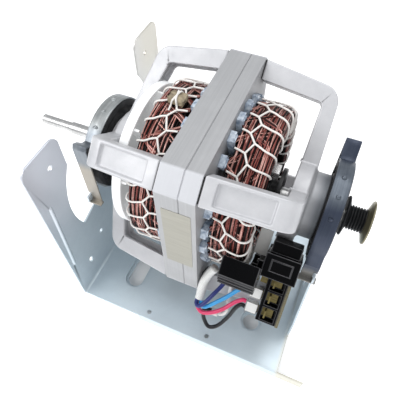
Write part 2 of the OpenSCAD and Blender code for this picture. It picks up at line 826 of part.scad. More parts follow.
// Lacing cord: wraps round the end winding, passing between the slots on the stack side
lace_cut = 3;
lace_loop = [[lace_x, lace_in + lace_cut], [lace_x, lace_r - lace_cut], [lace_x + lace_cut, lace_r],
    [lace_end - bundle_corner, lace_r], [lace_end, lace_r - bundle_corner], [lace_end, lace_in + lace_cut],
    [lace_end - lace_cut, lace_in], [lace_x + lace_cut, lace_in]];
lace_steps = [-0.11, 0.11, 0.22, 0.42, 0.5, 0.58, 0.66, 0.8];
lace_points = [for (w = [0 : lace_wraps - 1], k = [0 : 7]) let (q = lace_loop[k])
    on_turn(q[0], q[1], slot_pitch / 2 + (w + lace_steps[k]) * 2 * slot_pitch)];
lace_skip = 5;
lace_gap = min([for (i = [0 : len(lace_points) - 1], j = [i + lace_skip : 1 : len(lace_points) - 1])
    norm(lace_points[i] - lace_points[j])]) - lace_d;
echo(lace_gap = lace_gap);

module left_lacing() {
    color("white") on_axis() mirror([1, 0, 0]) tube(lace_points, lace_d, 6);
}

module right_lacing() {
    color("white") on_axis() tube(lace_points, lace_d, 6);
}

module left_bearing() {
    color("goldenrod") on_axis() mirror([1, 0, 0]) bearing(left_hub_in);
}

module right_bearing() {
    color("goldenrod") on_axis() bearing(right_hub_in);
}

// Plain bronze sleeve bearing
module bearing(hub_in) {
    translate([hub_in + bearing_set, 0, 0]) turned() difference() {
        cylinder(r = bearing_r, h = bearing_l - seat_gap);
        translate([0, 0, -1]) cylinder(r = shaft_d / 2 + run_gap, h = bearing_l + 2);
    }
}

module left_oil_felt() {
    color("tan") on_axis() mirror([1, 0, 0]) oil_felt(left_hub_in);
}

module right_oil_felt() {
    color("tan") on_axis() oil_felt(right_hub_in);
}

// Oil-soaked felt round the bearing
module oil_felt(hub_in) {
    translate([hub_in + bearing_set + 1, 0, 0]) turned() difference() {
        cylinder(r = felt_r - seat_gap, h = felt_l);
        translate([0, 0, -1]) cylinder(r = bearing_r + seat_gap, h = felt_l + 2);
    }
}

module left_felt_retainer() {
    color("silver") on_axis() mirror([1, 0, 0]) felt_retainer(left_hub_in);
}

module right_felt_retainer() {
    color("silver") on_axis() felt_retainer(right_hub_in);
}

// Spring-steel cup that closes the felt well
module felt_retainer(hub_in) {
    translate([hub_in + bearing_set, 0, 0]) turned() difference() {
        cylinder(r = felt_r - seat_gap, h = 0.9);
        translate([0, 0, -1]) cylinder(r = bearing_r + seat_gap, h = 3);
    }
}

// Bare adhesive plate on the front of the stack
module rating_plate() {
    color("ivory") on_axis() translate([0.2, -stack_w / 2, plate_up]) rotate([90, 0, 0])
        linear_extrude(plate_t) round_rect(stack_l * plate_share, stack_w * plate_reach, 1);
}

// Shaft: threaded blower end, stub, bearing journals and pulley seat
module shaft() {
    stub_x = hub_end + 2;
    cone = 1;
    color("lightgray") on_axis() turned() {
        translate([0, 0, -tip_x + cone]) cylinder(d = thread_d, h = thread_l);
        translate([0, 0, -tip_x]) cylinder(d1 = thread_d - 2 * cone, d2 = thread_d, h = cone);
        translate([0, 0, -tip_x + thread_l]) cylinder(d = stub_d, h = tip_x - thread_l - stub_x + 1);
        translate([0, 0, -stub_x]) cylinder(d = shaft_d, h = stub_x + hub_end + 0.5);
        translate([0, 0, hub_end]) cylinder(d = pulley_seat_d, h = shaft_end - hub_end);
    }
}

// Laminated rotor core
module rotor_core() {
    slots = 34;
    color("gray") on_axis() turned() translate([0, 0, -stack_end]) difference() {
        cylinder(r = rotor_r, h = stack_l, $fn = 128);
        translate([0, 0, -1]) cylinder(r = shaft_d / 2 + 0.01, h = stack_l + 2);
        for (i = [0 : slots - 1]) rotate(i * 360 / slots) translate([rotor_r - 1.2, -0.5, -1])
            cube([2, 1, stack_l + 2]);
    }
}

module left_end_ring() {
    color("gainsboro") on_axis() mirror([1, 0, 0]) end_ring();
}

module right_end_ring() {
    color("gainsboro") on_axis() end_ring();
}

// Cast ring that joins the rotor bars, with short vanes
module end_ring() {
    vanes = 10;
    ring_t = 8;
    vane_l = 5;
    translate([stack_end, 0, 0]) turned() {
        difference() {
            cylinder(r = end_ring_r, h = ring_l - vane_l);
            translate([0, 0, -1]) cylinder(r = end_ring_r - ring_t, h = ring_l);
        }
        for (i = [0 : vanes - 1]) rotate(i * 360 / vanes) translate([end_ring_r - ring_t + 0.5, -1, 0.5])
            cube([ring_t - 1, 2, ring_l - 0.5]);
    }
}

// Moulded cooling fan: a back disc, radial blades that face the winding, and a hub on the shaft
module cooling_fan() {
    blade_t = 1.8;
    blade_in = 17;
    blade_x = lace_end + lace_d / 2 + 0.9;
    hub = 12;
    hub_x = stack_end + ring_l + 3;
    color("white") on_axis() mirror([1, 0, 0]) turned() difference() {
        union() {
            translate([0, 0, fan_back - fan_wall]) cylinder(r = fan_r, h = fan_wall, $fn = 96);
            translate([0, 0, hub_x]) cylinder(r = hub, h = fan_back - hub_x + 6);
            difference() {
                translate([0, 0, fan_back - fan_rim]) cylinder(r = fan_r, h = fan_rim, $fn = 96);
                translate([0, 0, fan_back - fan_rim - 1])
                    cylinder(r = fan_r - blade_t, h = fan_rim, $fn = 96);
            }
            for (i = [0 : fan_n - 1]) rotate(i * 360 / fan_n) translate([blade_in, -blade_t / 2, blade_x])
                rotate([0, 0, 8]) cube([fan_r - blade_in - 2, blade_t, fan_back - blade_x - fan_wall / 2]);
            for (i = [0 : fan_n - 1]) rotate(i * 360 / fan_n)
                translate([hub - 1, -blade_t / 2, fan_back - 7]) cube([blade_in - hub + 2, blade_t, 6]);
        }
        translate([0, 0, hub_x - 1]) cylinder(r = shaft_d / 2 + run_gap, h = fan_back);
    }
}

// Thrust washers between the rotor parts and the bearings
module thrust_washers() {
    color("black") on_axis() turned() {
        translate([0, 0, right_hub_in + bearing_set - washer_t - 0.2]) washer();
        translate([0, 0, -left_hub_in - bearing_set + 0.2]) washer();
    }
}

module washer() {
    difference() {
        cylinder(r = washer_r, h = washer_t);
        translate([0, 0, -1]) cylinder(r = shaft_d / 2 + 0.01, h = washer_t + 2);
    }
}

// Belt pulley: an inner flange and a row of V ribs
module drive_pulley() {
    groove = 1.3;
    inner_flange_r = flange_r - 1.2;
    color("black") on_axis() turned() rotate_extrude($fn = 96) polygon(concat(
        [[pulley_seat_d / 2 + 0.01, pulley_x], [inner_flange_r - 1, pulley_x],
        [inner_flange_r, pulley_x + 0.8], [inner_flange_r, pulley_x + 1.6], [rib_r + 0.6, rib_x]],
        [for (i = [0 : rib_n - 1]) each [[rib_r, rib_x + i * groove_pitch + 0.3],
            [rib_r - groove, rib_x + (i + 0.5) * groove_pitch],
            [rib_r, rib_x + (i + 1) * groove_pitch - 0.3]]],
        [[rib_r, pulley_end - 0.1], [pulley_seat_d / 2 + 0.01, pulley_end - 0.1]]));
}

// Dished steel flange at the outer side of the pulley
module pulley_flange() {
    wall = 1.2;
    color("darkkhaki") on_axis() turned() rotate_extrude($fn = 96) polygon([
        [pulley_seat_d / 2 + 0.01, pulley_end], [rib_r - 0.5, pulley_end], [flange_r, pulley_end + 2.6],
        [flange_r, pulley_end + 2.6 + wall], [rib_r - 1, pulley_end + wall],
        [pulley_seat_d / 2 + 2, pulley_end + wall], [pulley_seat_d / 2 + 2, pulley_end + flange_l],
        [pulley_seat_d / 2 + 0.01, pulley_end + flange_l]]);
}

// Governor hub, fixed on the shaft, with ears for the weights
module governor_hub() {
    ear_gap = weight_w + 2 * move_gap;
    side_t = 2;
    ear_end = collar_x - 0.5;
    ear_low = pivot_r - 5;
    color("dimgray") on_axis() difference() {
        union() {
            translate([gov_x, 0, 0]) turned() cylinder(r = gov_hub_r, h = gov_l);
            for (s = [0, 180], e = [-1, 1]) rotate([s, 0, 0])
                translate([gov_x, e * (ear_gap + side_t) / 2 - side_t / 2, 0]) {
                    cube([gov_l, side_t, pivot_r + 3]);
                    translate([0, 0, ear_low]) cube([ear_end - gov_x, side_t, pivot_r + 3 - ear_low]);
                }
            for (s = [-1, 1]) translate([pivot_x, 0, s * pivot_r]) rotate([90, 0, 0])
                cylinder(r = pin_r, h = ear_gap + 2 * side_t, center = true);
        }
        translate([gov_x - 1, 0, 0]) turned() cylinder(r = shaft_d / 2 + 0.01, h = gov_l + 2);
    }
}

// Tension spring between the governor hub and the collar
spring_x0 = gov_x + gov_l + spring_wire / 2 + 0.15;
spring_x1 = collar_x - spring_wire / 2 - 0.15;
spring_path = concat(
    [[spring_x0, spring_r, 0], [spring_x0, spring_r, spring_wire]],
    [for (i = [1 : spring_curls * 8 - 1]) let (a = 45 * i)
        [spring_x0 + (spring_x1 - spring_x0) * (i - 1) / (spring_curls * 8 - 2),
        spring_r * cos(a), spring_r * sin(a)]],
    [[spring_x1, spring_r, -spring_wire], [spring_x1, spring_r, 0]]);
spring_gap = min([for (i = [0 : len(spring_path) - 1], j = [i + 5 : 1 : len(spring_path) - 1])
    norm(spring_path[i] - spring_path[j])]) - spring_wire;
echo(spring_gap = spring_gap);

module governor_spring() {
    color("silver") on_axis() tube(spring_path, spring_wire, 6);
}

// Sliding collar: a lip that the weights push and the disc that works the switch lever
module governor_collar() {
    color("black") on_axis() translate([collar_x, 0, 0]) turned() difference() {
        union() {
            cylinder(r = collar_hub_r, h = collar_l);
            cylinder(r = collar_lip_r, h = collar_lip_t);
            translate([0, 0, collar_l - disc_t]) cylinder(r = collar_r, h = disc_t);
        }
        translate([0, 0, -1]) cylinder(r = shaft_d / 2 + 2 * run_gap, h = collar_l + 2);
    }
}

module governor_weight_a() {
    color("gray") on_axis() governor_weight();
}

module governor_weight_b() {
    color("gray") on_axis() rotate([180, 0, 0]) governor_weight();
}

// Fly-weight on the upper pivot: a heavy arm over the collar and a toe that pushes the collar's lip
module governor_weight() {
    toe_x = collar_x - 0.3;
    toe_r = 12;
    arm_end = collar_x + collar_l - disc_t - 1;
    translate([0, weight_w / 2, 0]) rotate([90, 0, 0]) linear_extrude(weight_w) difference() {
        union() {
            translate([pivot_x, pivot_r]) circle(3.4);
            translate([pivot_x, collar_r + 0.6]) square([arm_end - pivot_x, 6.4]);
            polygon([[pivot_x - 2, pivot_r], [toe_x - 0.5, pivot_r], [toe_x, toe_r], [toe_x - 2, toe_r]]);
        }
        translate([pivot_x, pivot_r]) circle(pin_r + run_gap);
    }
}

// Moulded start switch on the flank of the lower front arm
module switch_body() {
    color("#1a1a1c") difference() {
        switch_frame() difference() {
            union() {
                switch_case();
                switch_front();
                for (w = [lever_w0 - move_gap - ear_t, lever_w1 + move_gap])
                    translate([lever_x - 3, lever_v - 4, w]) cube([switch_split - lever_x + 3.5, 8, ear_t]);
            }
            translate([switch_split - 4.1, switch_v0 - 1, lever_w0 - move_gap])
                cube([3.9, lever_v + 4.6 - switch_v0, lever_w1 - lever_w0 + 2 * move_gap]);
            translate([switch_split - 4.1, switch_v0 - 1, lever_w0 - move_gap])
                cube([4.1 + lever_relief, lever_v - 2.6 - switch_v0, lever_w1 - lever_w0 + 2 * move_gap]);
            translate([lever_x + lever_t / 2, lever_v, 0])
                cylinder(r = pin_r + run_gap, h = switch_w1 / 2 + 6);
        }
        screw_path(screw_r + seat_gap, 0.5);
    }
}

// The case beside the end winding, hollowed to clear the lacing, with ridges along its slanted face
// and a pocket beside the first connector
module switch_case() {
    low = case_nose[0];
    along = case_nose[1] - low;
    out = unit([-along[1], along[0]]) * -ridge_h;
    ridges = [for (i = [0 : ridge_n - 1]) let (a = low + along * (i + 0.35) / ridge_n,
        b = low + along * (i + 0.8) / ridge_n) each [a, a + out, b + out, b]];
    outline = concat([[case_v0, case_w0], [case_v1, case_w0], low], ridges,
        [for (i = [1 : 3]) case_nose[i]]);
    difference() {
        translate([case_x0, 0, 0]) rotate([90, 0, 90])
            linear_extrude(switch_split - case_x0) polygon(outline);
        turned() cylinder(r = switch_clear, h = lace_end + 2);
        translate([block_x - flag_l - 1, cell_v(1) - flag_half - move_gap, flank_w + 2])
            cube([block_l, 3 * flag_half, block_top]);
    }
}

// The part of the switch that is screwed to the arm
module switch_front() {
    long = switch_x1 - switch_split;
    translate([switch_split - 4, switch_v0 + 8, flank_w])
        cube([8, switch_v1 - switch_v0 - 8, switch_w1 - flank_w - 4]);
    translate([switch_split - 0.1, switch_v0, flank_w])
        cube([long, switch_v1 - switch_v0, switch_w1 - flank_w]);
    translate([switch_split + 5, switch_v0 + 4, switch_w1 - 0.1]) cube([long - 10, 8, 1.2]);
    translate([switch_split + 2, switch_v0 - step_v, step_w])
        cube([long - 4, step_v + 1, switch_w1 - step_w - 5]);
}

// Two screws through the arm that hold the switch
module switch_screws() {
    head_t = 1.6;
    color("silver") {
        screw_path(screw_r, 0);
        switch_frame() for (v = screw_vs) translate([screw_x, v, -flank_w - head_t])
            cylinder(r = 2 * screw_r, h = head_t + 0.05);
    }
}

// Place of the screws, from the far flank of the arm into the switch
module screw_path(r, more) {
    switch_frame() for (v = screw_vs) translate([screw_x, v, -flank_w - more])
        cylinder(r = r, h = flank_w + screw_deep + 2 * more);
}

// Lever that follows the governor's disc: a finger and a broad plate along one edge of it
module switch_lever() {
    color("gainsboro") switch_frame() difference() {
        union() {
            translate([lever_x, lever_tip_v, lever_w0])
                cube([lever_t, lever_v - lever_tip_v, lever_w1 - lever_w0]);
            translate([lever_plate_x, lever_tip_v + 12, lever_w1 - lever_plate_t])
                cube([lever_plate_w, 19, lever_plate_t]);
            translate([lever_x + lever_t / 2, lever_v, lever_w0])
                cylinder(r = 2.9, h = lever_w1 - lever_w0);
        }
        translate([lever_x + lever_t / 2, lever_v, 0]) cylinder(r = pin_r + run_gap, h = 2 * lever_w1);
    }
}

module lever_pin() {
    w0 = lever_w0 - move_gap - ear_t;
    color("silver") switch_frame() translate([lever_x + lever_t / 2, lever_v, w0])
        cylinder(r = pin_r, h = lever_w1 - lever_w0 + 2 * (move_gap + ear_t));
}

// Terminal block: a black moulding with open cells
module terminal_block() {
    color("#151515") switch_frame() difference() {
        translate([block_x, block_v0, flank_w]) cube([block_l, block_v1 - block_v0, block_top - flank_w]);
        for (i = [0 : terminal_n - 1]) translate([block_x, cell_v(i), flank_w]) {
            translate([3, 1 - cell_pitch / 2, 3]) cube([block_l - 5, cell_pitch - 2, block_top]);
            translate([-1, -tab_w / 2 - 0.25, 5]) cube([5, tab_w + 0.5, tab_t + 0.4]);
        }
    }
}

// Brass tabs through the terminal cells
module terminal_tabs() {
    color("darkkhaki") switch_frame() for (i = [0 : terminal_n - 1])
        translate([block_x, cell_v(i) - tab_w / 2, flank_w + 5.2]) {
            translate([-tab_out, 0, 0]) cube([tab_out + block_l - 4, tab_w, tab_t]);
            translate([5, 0.3, -2.1]) cube([1.2, tab_w - 0.6, 8.5]);
        }
}

// Fibre board beside the block
module terminal_board() {
    color("tan") switch_frame() translate([block_x + block_l + seat_gap, block_v0, flank_w])
        cube([board_t, block_v1 - block_v0 + 1, block_top - flank_w - 1]);
}

// Cream protector tied to the blower-end winding
module thermal_protector() {
    centre_x = -29;
    color("cornsilk") on_axis() translate([centre_x, 0, coil_r + strand_d / 2 + 0.3])
        linear_extrude(4) round_rect(12, 10, 2);
}

// Insulated connectors pushed on the two lower tabs
module flag_terminals() {
    color("white") switch_frame() for (i = [1 : terminal_n - 1]) translate([block_x, cell_v(i), flank_w])
        difference() {
            translate([-flag_l - 0.5, -flag_half, 2.6]) cube([flag_l, 2 * flag_half, 6]);
            translate([-tab_out - 1, -tab_w / 2 - seat_gap, 5.1])
                cube([tab_out + 2, tab_w + 2 * seat_gap, tab_t + 0.2]);
        }
}

module lead_sleeve() {
    color("white") switch_frame() tube(curve(sleeve_route, 3), sleeve_d, 8);
}

module lead_blue() {
    color("deepskyblue") switch_frame() tube(curve(blue_route, 3), lead_d, 8);
}

module lead_red() {
    color("hotpink") switch_frame() tube(curve(red_route, 3), lead_d, 8);
}

module lead_black() {
    color("dimgray") switch_frame() tube(curve(black_route, 3), lead_d, 8);
}

module lead_navy() {
    color("navy") switch_frame() tube(curve(navy_route, 3), lead_d, 8);
}

module lead_tail() {
    color("white") switch_frame() tube(curve(tail_route, 3), lead_d, 8);
}

// Splice that joins the black lead to the white tail
module crimp_splice() {
    color("white") switch_frame() translate(black_route[len(black_route) - 1] + [0.2, 0, 0]) turned()
        cylinder(r = splice_r, h = splice_l);
}

placed() mounting_bracket();
placed() left_clamp_strap();
placed() right_clamp_strap();
placed() left_mount_ring();
placed() right_mount_ring();
placed() left_end_frame();
placed() right_end_frame();
placed() frame_bond_pads();
placed() stator_stack();
placed() slot_liners();
placed() stator_winding();
placed() left_winding_turns();
placed() right_winding_turns();
placed() left_lacing();
placed() right_lacing();
placed() left_bearing();
placed() right_bearing();
placed() left_oil_felt();
placed() right_oil_felt();
placed() left_felt_retainer();
placed() right_felt_retainer();
placed() rating_plate();
placed() shaft();
placed() rotor_core();
placed() left_end_ring();
placed() right_end_ring();
placed() cooling_fan();
placed() thrust_washers();
placed() drive_pulley();
placed() pulley_flange();
placed() governor_hub();
placed() governor_spring();
placed() governor_collar();
placed() governor_weight_a();
placed() governor_weight_b();
placed() switch_body();
placed() switch_screws();
placed() switch_lever();
placed() lever_pin();
placed() terminal_block();
placed() terminal_tabs();
placed() terminal_board();
placed() thermal_protector();
placed() flag_terminals();
placed() lead_sleeve();
placed() lead_blue();
placed() lead_red();
placed() lead_black();
placed() lead_navy();
placed() lead_tail();
placed() crimp_splice();
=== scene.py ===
"""Dressed model of an open-frame laundry drive motor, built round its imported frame."""

import json
import logging
import math
import random
from contextlib import contextmanager
from dataclasses import dataclass, field
from enum import Enum, auto
from typing import Iterable, Iterator, Sequence

import bpy
from mathutils import Euler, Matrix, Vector

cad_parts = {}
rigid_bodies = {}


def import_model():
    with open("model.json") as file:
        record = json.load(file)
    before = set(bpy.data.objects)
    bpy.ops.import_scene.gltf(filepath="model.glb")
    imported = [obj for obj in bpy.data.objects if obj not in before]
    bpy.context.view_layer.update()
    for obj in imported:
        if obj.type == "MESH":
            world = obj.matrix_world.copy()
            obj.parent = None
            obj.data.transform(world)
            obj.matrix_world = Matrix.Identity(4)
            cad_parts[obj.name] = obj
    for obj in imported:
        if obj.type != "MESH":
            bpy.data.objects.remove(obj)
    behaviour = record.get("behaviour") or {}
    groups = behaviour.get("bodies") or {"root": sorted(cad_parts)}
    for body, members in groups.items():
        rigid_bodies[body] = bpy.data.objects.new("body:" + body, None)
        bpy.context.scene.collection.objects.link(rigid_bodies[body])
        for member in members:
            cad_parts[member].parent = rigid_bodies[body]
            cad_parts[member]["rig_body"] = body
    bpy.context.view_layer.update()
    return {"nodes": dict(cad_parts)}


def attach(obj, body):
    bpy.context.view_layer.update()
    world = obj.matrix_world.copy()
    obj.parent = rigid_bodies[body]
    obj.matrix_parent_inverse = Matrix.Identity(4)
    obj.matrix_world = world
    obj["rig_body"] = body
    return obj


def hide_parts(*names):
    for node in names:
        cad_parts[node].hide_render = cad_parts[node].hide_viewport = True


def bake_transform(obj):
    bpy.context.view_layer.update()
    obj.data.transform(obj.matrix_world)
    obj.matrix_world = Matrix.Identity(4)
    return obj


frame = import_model()

RGB = tuple[float, float, float]
Span = tuple[float, float]
Route = list[Vector]
Run = tuple[Route, int]
LOG = logging.getLogger("drive_motor")

# Millimetres in a metre, a full turn in radians, and the stack's middle and the axis in metres.
MM = 1000
TURN = 2 * math.pi
MID_X = 0.02115
AXIS_Z = 0.127
HALF = math.sqrt(0.5)

# Distance at which corners of a solid, or of a wire, are merged, in metres.
SOLID_WELD = 2e-6
WIRE_WELD = 1e-6

# Least angle of a sharp edge and most angle inside a flat face, in degrees, and how much of a
# face's direction lies along one axis if the face is square to it.
SHARP_ANGLE = 40.0
FLAT_ANGLE = 0.5
SQUARE = 0.9999

# Range of a cloudy pattern that a soft mask spreads from 0 to 1.
SOFT: Span = (0.3, 0.7)


def at(x: float, y: float, z: float) -> Vector:
    """Place of a point given in mm from the middle of the stack, on the motor's axis."""
    return Vector((x / MM + MID_X, y / MM, z / MM + AXIS_Z))


def polar(x: float, r: float, angle: float) -> Vector:
    """Place of a point given by x and r in mm and its angle from the top, in radians."""
    return at(x, r * math.sin(angle), r * math.cos(angle))


def by_switch(x: float, v: float, w: float) -> Vector:
    """Place of a point given in mm in the switch's own slanted frame."""
    return at(x, -(v + w) * HALF, (w - v) * HALF)


def helix(start: float, end: float, r: float, turns: float, per_turn: int) -> Route:
    """Points of a coil round the motor's axis.

    Args:
        start: Where the coil starts along the axis, in mm.
        end: Where it ends.
        r: Its radius, in mm.
        turns: Number of its turns.
        per_turn: Points in each turn.

    Returns:
        The coil's points, with both ends.
    """
    count = round(turns * per_turn)
    return [polar(start + (end - start) * k / count, r, TURN * turns * k / count)
            for k in range(count + 1)]


def smooth_route(knots: Sequence[Vector], steps: int) -> Route:
    """Points of a smooth curve through knots.

    Args:
        knots: Points that the curve passes through.
        steps: Points between each pair of knots.

    Returns:
        The curve's points, with both ends.
    """
    points: Route = []
    last = len(knots) - 1
    for i in range(last):
        a, b = knots[max(i - 1, 0)], knots[i]
        c, d = knots[i + 1], knots[min(i + 2, last)]
        for j in range(steps):
            t = j / steps
            points.append(0.5 * (2 * b + (c - a) * t + (2 * a - 5 * b + 4 * c - d) * t * t
                                 + (3 * b - a - 3 * c + d) * t * t * t))
    points.append(knots[last].copy())
    return points


class Wire:
    """A shader socket that takes part in sums, each sum adding a Math node."""

    def __init__(self, tree: bpy.types.NodeTree, socket: bpy.types.NodeSocket) -> None:
        """Keeps the tree that the socket belongs to."""
        self.tree = tree
        self.socket = socket

    def _math(self, operation: str, *values: "Wire | float", clamp: bool = False) -> "Wire":
        """Adds one Math node.

        Args:
            operation: The node's operation.
            values: Its inputs in order.
            clamp: Whether the result is kept from 0 to 1.

        Returns:
            The node's output.
        """
        node = self.tree.nodes.new("ShaderNodeMath")
        node.operation = operation
        node.use_clamp = clamp
        for place, value in zip(node.inputs, values):
            if isinstance(value, Wire):
                self.tree.links.new(value.socket, place)
            else:
                place.default_value = value
        return Wire(self.tree, node.outputs[0])

    def __add__(self, other: "Wire | float") -> "Wire":
        """Sum."""
        return self._math("ADD", self, other)

    def __radd__(self, other: float) -> "Wire":
        """Sum, number first."""
        return self._math("ADD", other, self)

    def __sub__(self, other: "Wire | float") -> "Wire":
        """Difference."""
        return self._math("SUBTRACT", self, other)

    def __rsub__(self, other: float) -> "Wire":
        """Difference, number first."""
        return self._math("SUBTRACT", other, self)

    def __mul__(self, other: "Wire | float") -> "Wire":
        """Product."""
        return self._math("MULTIPLY", self, other)

    def __rmul__(self, other: float) -> "Wire":
        """Product, number first."""
        return self._math("MULTIPLY", other, self)

    def sine(self) -> "Wire":
        """Sine of an angle in radians."""
        return self._math("SINE", self)

    def squared(self) -> "Wire":
        """Square."""
        return self * self

    def between(self, low: float, high: float) -> "Wire":
        """Goes from 0 at low to 1 at high."""
        offset = self - low
        return offset._math("DIVIDE", offset, high - low, clamp=True)

    def mixed(self, other: "Wire", share: float) -> "Wire":
        """This value mixed with a share of another."""
        return self * (1 - share) + other * share


class Shader:
    """One procedural material under construction."""

    CLOUD_ROUGHNESS = 0.55
    MIX_FACTOR, MIX_A, MIX_B, MIX_RESULT = 0, 6, 7, 2

    def __init__(self, name: str) -> None:
        """Starts the material with its own surface node.

        Args:
            name: Name of the material.
        """
        self.material = bpy.data.materials.new(name)
        self.material.use_nodes = True
        self.tree = self.material.node_tree
        self.surface = self.tree.nodes["Principled BSDF"]
        self.place = self.add("ShaderNodeTexCoord", {}, {}, "Object")

    def add(self, kind: str, settings: dict[str, object], sockets: dict[str | int, object],
            output: str | int = 0) -> Wire:
        """Adds a node.

        Args:
            kind: The node's type.
            settings: Its settings, which are set first.
            sockets: Values or links of its inputs.
            output: The output wanted.

        Returns:
            That output.
        """
        node = self.tree.nodes.new(kind)
        for key, value in settings.items():
            setattr(node, key, value)
        for key, value in sockets.items():
            self.plug(node.inputs[key], value)
        return Wire(self.tree, node.outputs[output])

    def plug(self, place: bpy.types.NodeSocket, value: object) -> None:
        """Links a wire to a socket, or sets the socket's own value.

        Args:
            place: The socket.
            value: A wire, a number or a colour.
        """
        if isinstance(value, Wire):
            self.tree.links.new(value.socket, place)
        elif isinstance(value, tuple) and len(value) == 3 and place.type == "RGBA":
            place.default_value = (*value, 1.0)
        else:
            place.default_value = value

    def mix(self, factor: Wire, a: "Wire | RGB", b: "Wire | RGB") -> Wire:
        """Colour that goes from a to b."""
        return self.add("ShaderNodeMix", {"data_type": "RGBA"}, {
            self.MIX_FACTOR: factor, self.MIX_A: a, self.MIX_B: b}, self.MIX_RESULT)

    def noise(self, size: float, detail: float = 3.0, stretch: RGB = (1.0, 1.0, 1.0),
              turn: RGB = (0.0, 0.0, 0.0)) -> Wire:
        """Cloudy pattern.

        Args:
            size: Size of a cloud, in mm.
            detail: How finely the clouds break up.
            stretch: Scale along each axis.
            turn: Turn of the pattern, in radians.

        Returns:
            A value from 0 to 1.
        """
        spot = self.add("ShaderNodeMapping", {}, {
            "Vector": self.place, "Scale": stretch, "Rotation": turn})
        return self.add("ShaderNodeTexNoise", {}, {
            "Vector": spot, "Scale": MM / size, "Detail": detail,
            "Roughness": self.CLOUD_ROUGHNESS})

    def cells(self, size: float) -> Wire:
        """Irregular cells of a size in mm, each with a colour of its own."""
        return self.add("ShaderNodeTexVoronoi", {}, {
            "Vector": self.place, "Scale": MM / size}, "Color")

    def axis(self, name: str) -> Wire:
        """One coordinate, in metres."""
        return self.add("ShaderNodeSeparateXYZ", {}, {0: self.place}, name)

    def height(self) -> Wire:
        """Height over the motor's axis, in metres."""
        return self.axis("Z") - AXIS_Z

    def bump(self, height: Wire, strength: float, depth: float) -> None:
        """Raises the surface by height times depth in mm."""
        self.plug(self.surface.inputs["Normal"], self.add("ShaderNodeBump", {}, {
            "Height": height, "Strength": strength, "Distance": depth / MM}, "Normal"))


class Grain(Enum):
    """How a finish varies over its surface."""

    CAST = auto()
    SPANGLE = auto()
    LAMINATED = auto()
    BRUSHED = auto()
    TURNED = auto()
    MOULDED = auto()
    POWDERY = auto()
    WOVEN = auto()
    ENAMEL = auto()
    FIBRE = auto()
    FILM = auto()


@dataclass(frozen=True)
class Weave:
    """What a grain gives a finish: a mask from 0 to 1, and a height with its depth in mm."""

    mask: Wire
    height: Wire
    depth: float


@dataclass(frozen=True)
class GrainBook:
    """The pattern of each grain, on one shader and at one size in mm."""

    s: Shader
    size: float

    def cast(self) -> Weave:
        """Pebbled skin of a casting, with soft clouds and a few pits.

        Returns:
            The grain.
        """
        fine = self.s.noise(self.size, detail=4)
        pits = self.s.noise(self.size * 3, detail=2).between(0.26, 0.34)
        clouds = self.s.noise(self.size * 12, detail=5).between(*SOFT)
        return Weave(clouds.mixed(fine, share=0.3), fine + pits * 0.8, depth=0.25)

    def spangle(self) -> Weave:
        """Zinc crystals, each with its own tone, and faint rolling streaks.

        Returns:
            The grain.
        """
        tone = self.s.add("ShaderNodeSeparateColor", {}, {0: self.s.cells(self.size)})
        streak = self.s.noise(self.size * 2, detail=4, stretch=(0.15, 1.0, 1.0))
        return Weave(tone.mixed(streak.between(*SOFT), share=0.6), streak, depth=0.05)

    def laminated(self) -> Weave:
        """Edges of stamped sheets lying across the motor's axis, with some rust.

        Returns:
            The grain.
        """
        lines = (self.s.axis("X") * (TURN * MM / self.size)).sine() * 0.5 + 0.5
        sheets = self.s.noise(self.size * 1.3, detail=2, stretch=(1.0, 0.012, 0.012))
        rust = self.s.noise(size=16, detail=4).between(0.5, 0.75)
        mask = sheets.between(*SOFT) * 0.4 + lines * 0.1 + rust * 0.3 + 0.1
        return Weave(mask, lines + sheets, depth=0.1)

    def brushed(self) -> Weave:
        """Fine streaks along the motor's axis."""
        streak = self.s.noise(self.size, detail=4, stretch=(0.06, 1.0, 1.0))
        return Weave(streak.between(0.25, 0.75), streak, depth=0.04)

    def turned(self) -> Weave:
        """Tool marks round the motor's axis, with stained patches.

        Returns:
            The grain.
        """
        rings = self.s.noise(self.size, detail=3, stretch=(1.0, 0.03, 0.03))
        stains = self.s.noise(size=9, detail=3).between(0.4, 0.7)
        return Weave(rings.between(*SOFT).mixed(stains, share=0.4), rings, depth=0.05)

    def moulded(self) -> Weave:
        """Matt skin of a plastic moulding, with faint flow marks.

        Returns:
            The grain.
        """
        fine = self.s.noise(self.size, detail=2)
        flow = self.s.noise(size=24, detail=3, stretch=(1.0, 0.4, 1.0)).between(0.3, 0.75)
        return Weave(flow.mixed(fine, share=0.3), fine, depth=0.06)

    def powdery(self) -> Weave:
        """Dull rubber with pale bloom."""
        bloom = self.s.noise(size=11, detail=4).between(0.42, 0.72)
        return Weave(bloom, self.s.noise(self.size, detail=4), depth=0.12)

    def woven(self) -> Weave:
        """Crossed strands of a braided sleeve or laid cord.

        Returns:
            The grain.
        """
        waves = TURN * MM / self.size
        one = ((self.s.axis("X") + self.s.axis("Y") * 0.7) * waves).sine()
        two = ((self.s.axis("Z") - self.s.axis("X") * 0.6) * waves).sine()
        weave = one * two * 0.5 + 0.5
        return Weave(weave.mixed(self.s.noise(size=5, detail=2), share=0.4), weave, depth=0.25)

    def enamel(self) -> Weave:
        """Varnish that lies thick in places."""
        pools = self.s.noise(self.size, detail=3).between(*SOFT)
        return Weave(pools, self.s.noise(size=0.8, detail=1), depth=0.05)

    def fibre(self) -> Weave:
        """Pressed fibres and specks."""
        hair = self.s.noise(self.size, detail=5, stretch=(0.4, 1.0, 1.0), turn=(0.3, 0.2, 0.6))
        return Weave(hair.between(*SOFT), hair, depth=0.15)

    def film(self) -> Weave:
        """Creased film with pale fold lines."""
        crease = self.s.noise(self.size, detail=3)
        return Weave(crease.between(0.35, 0.65), crease, depth=0.3)


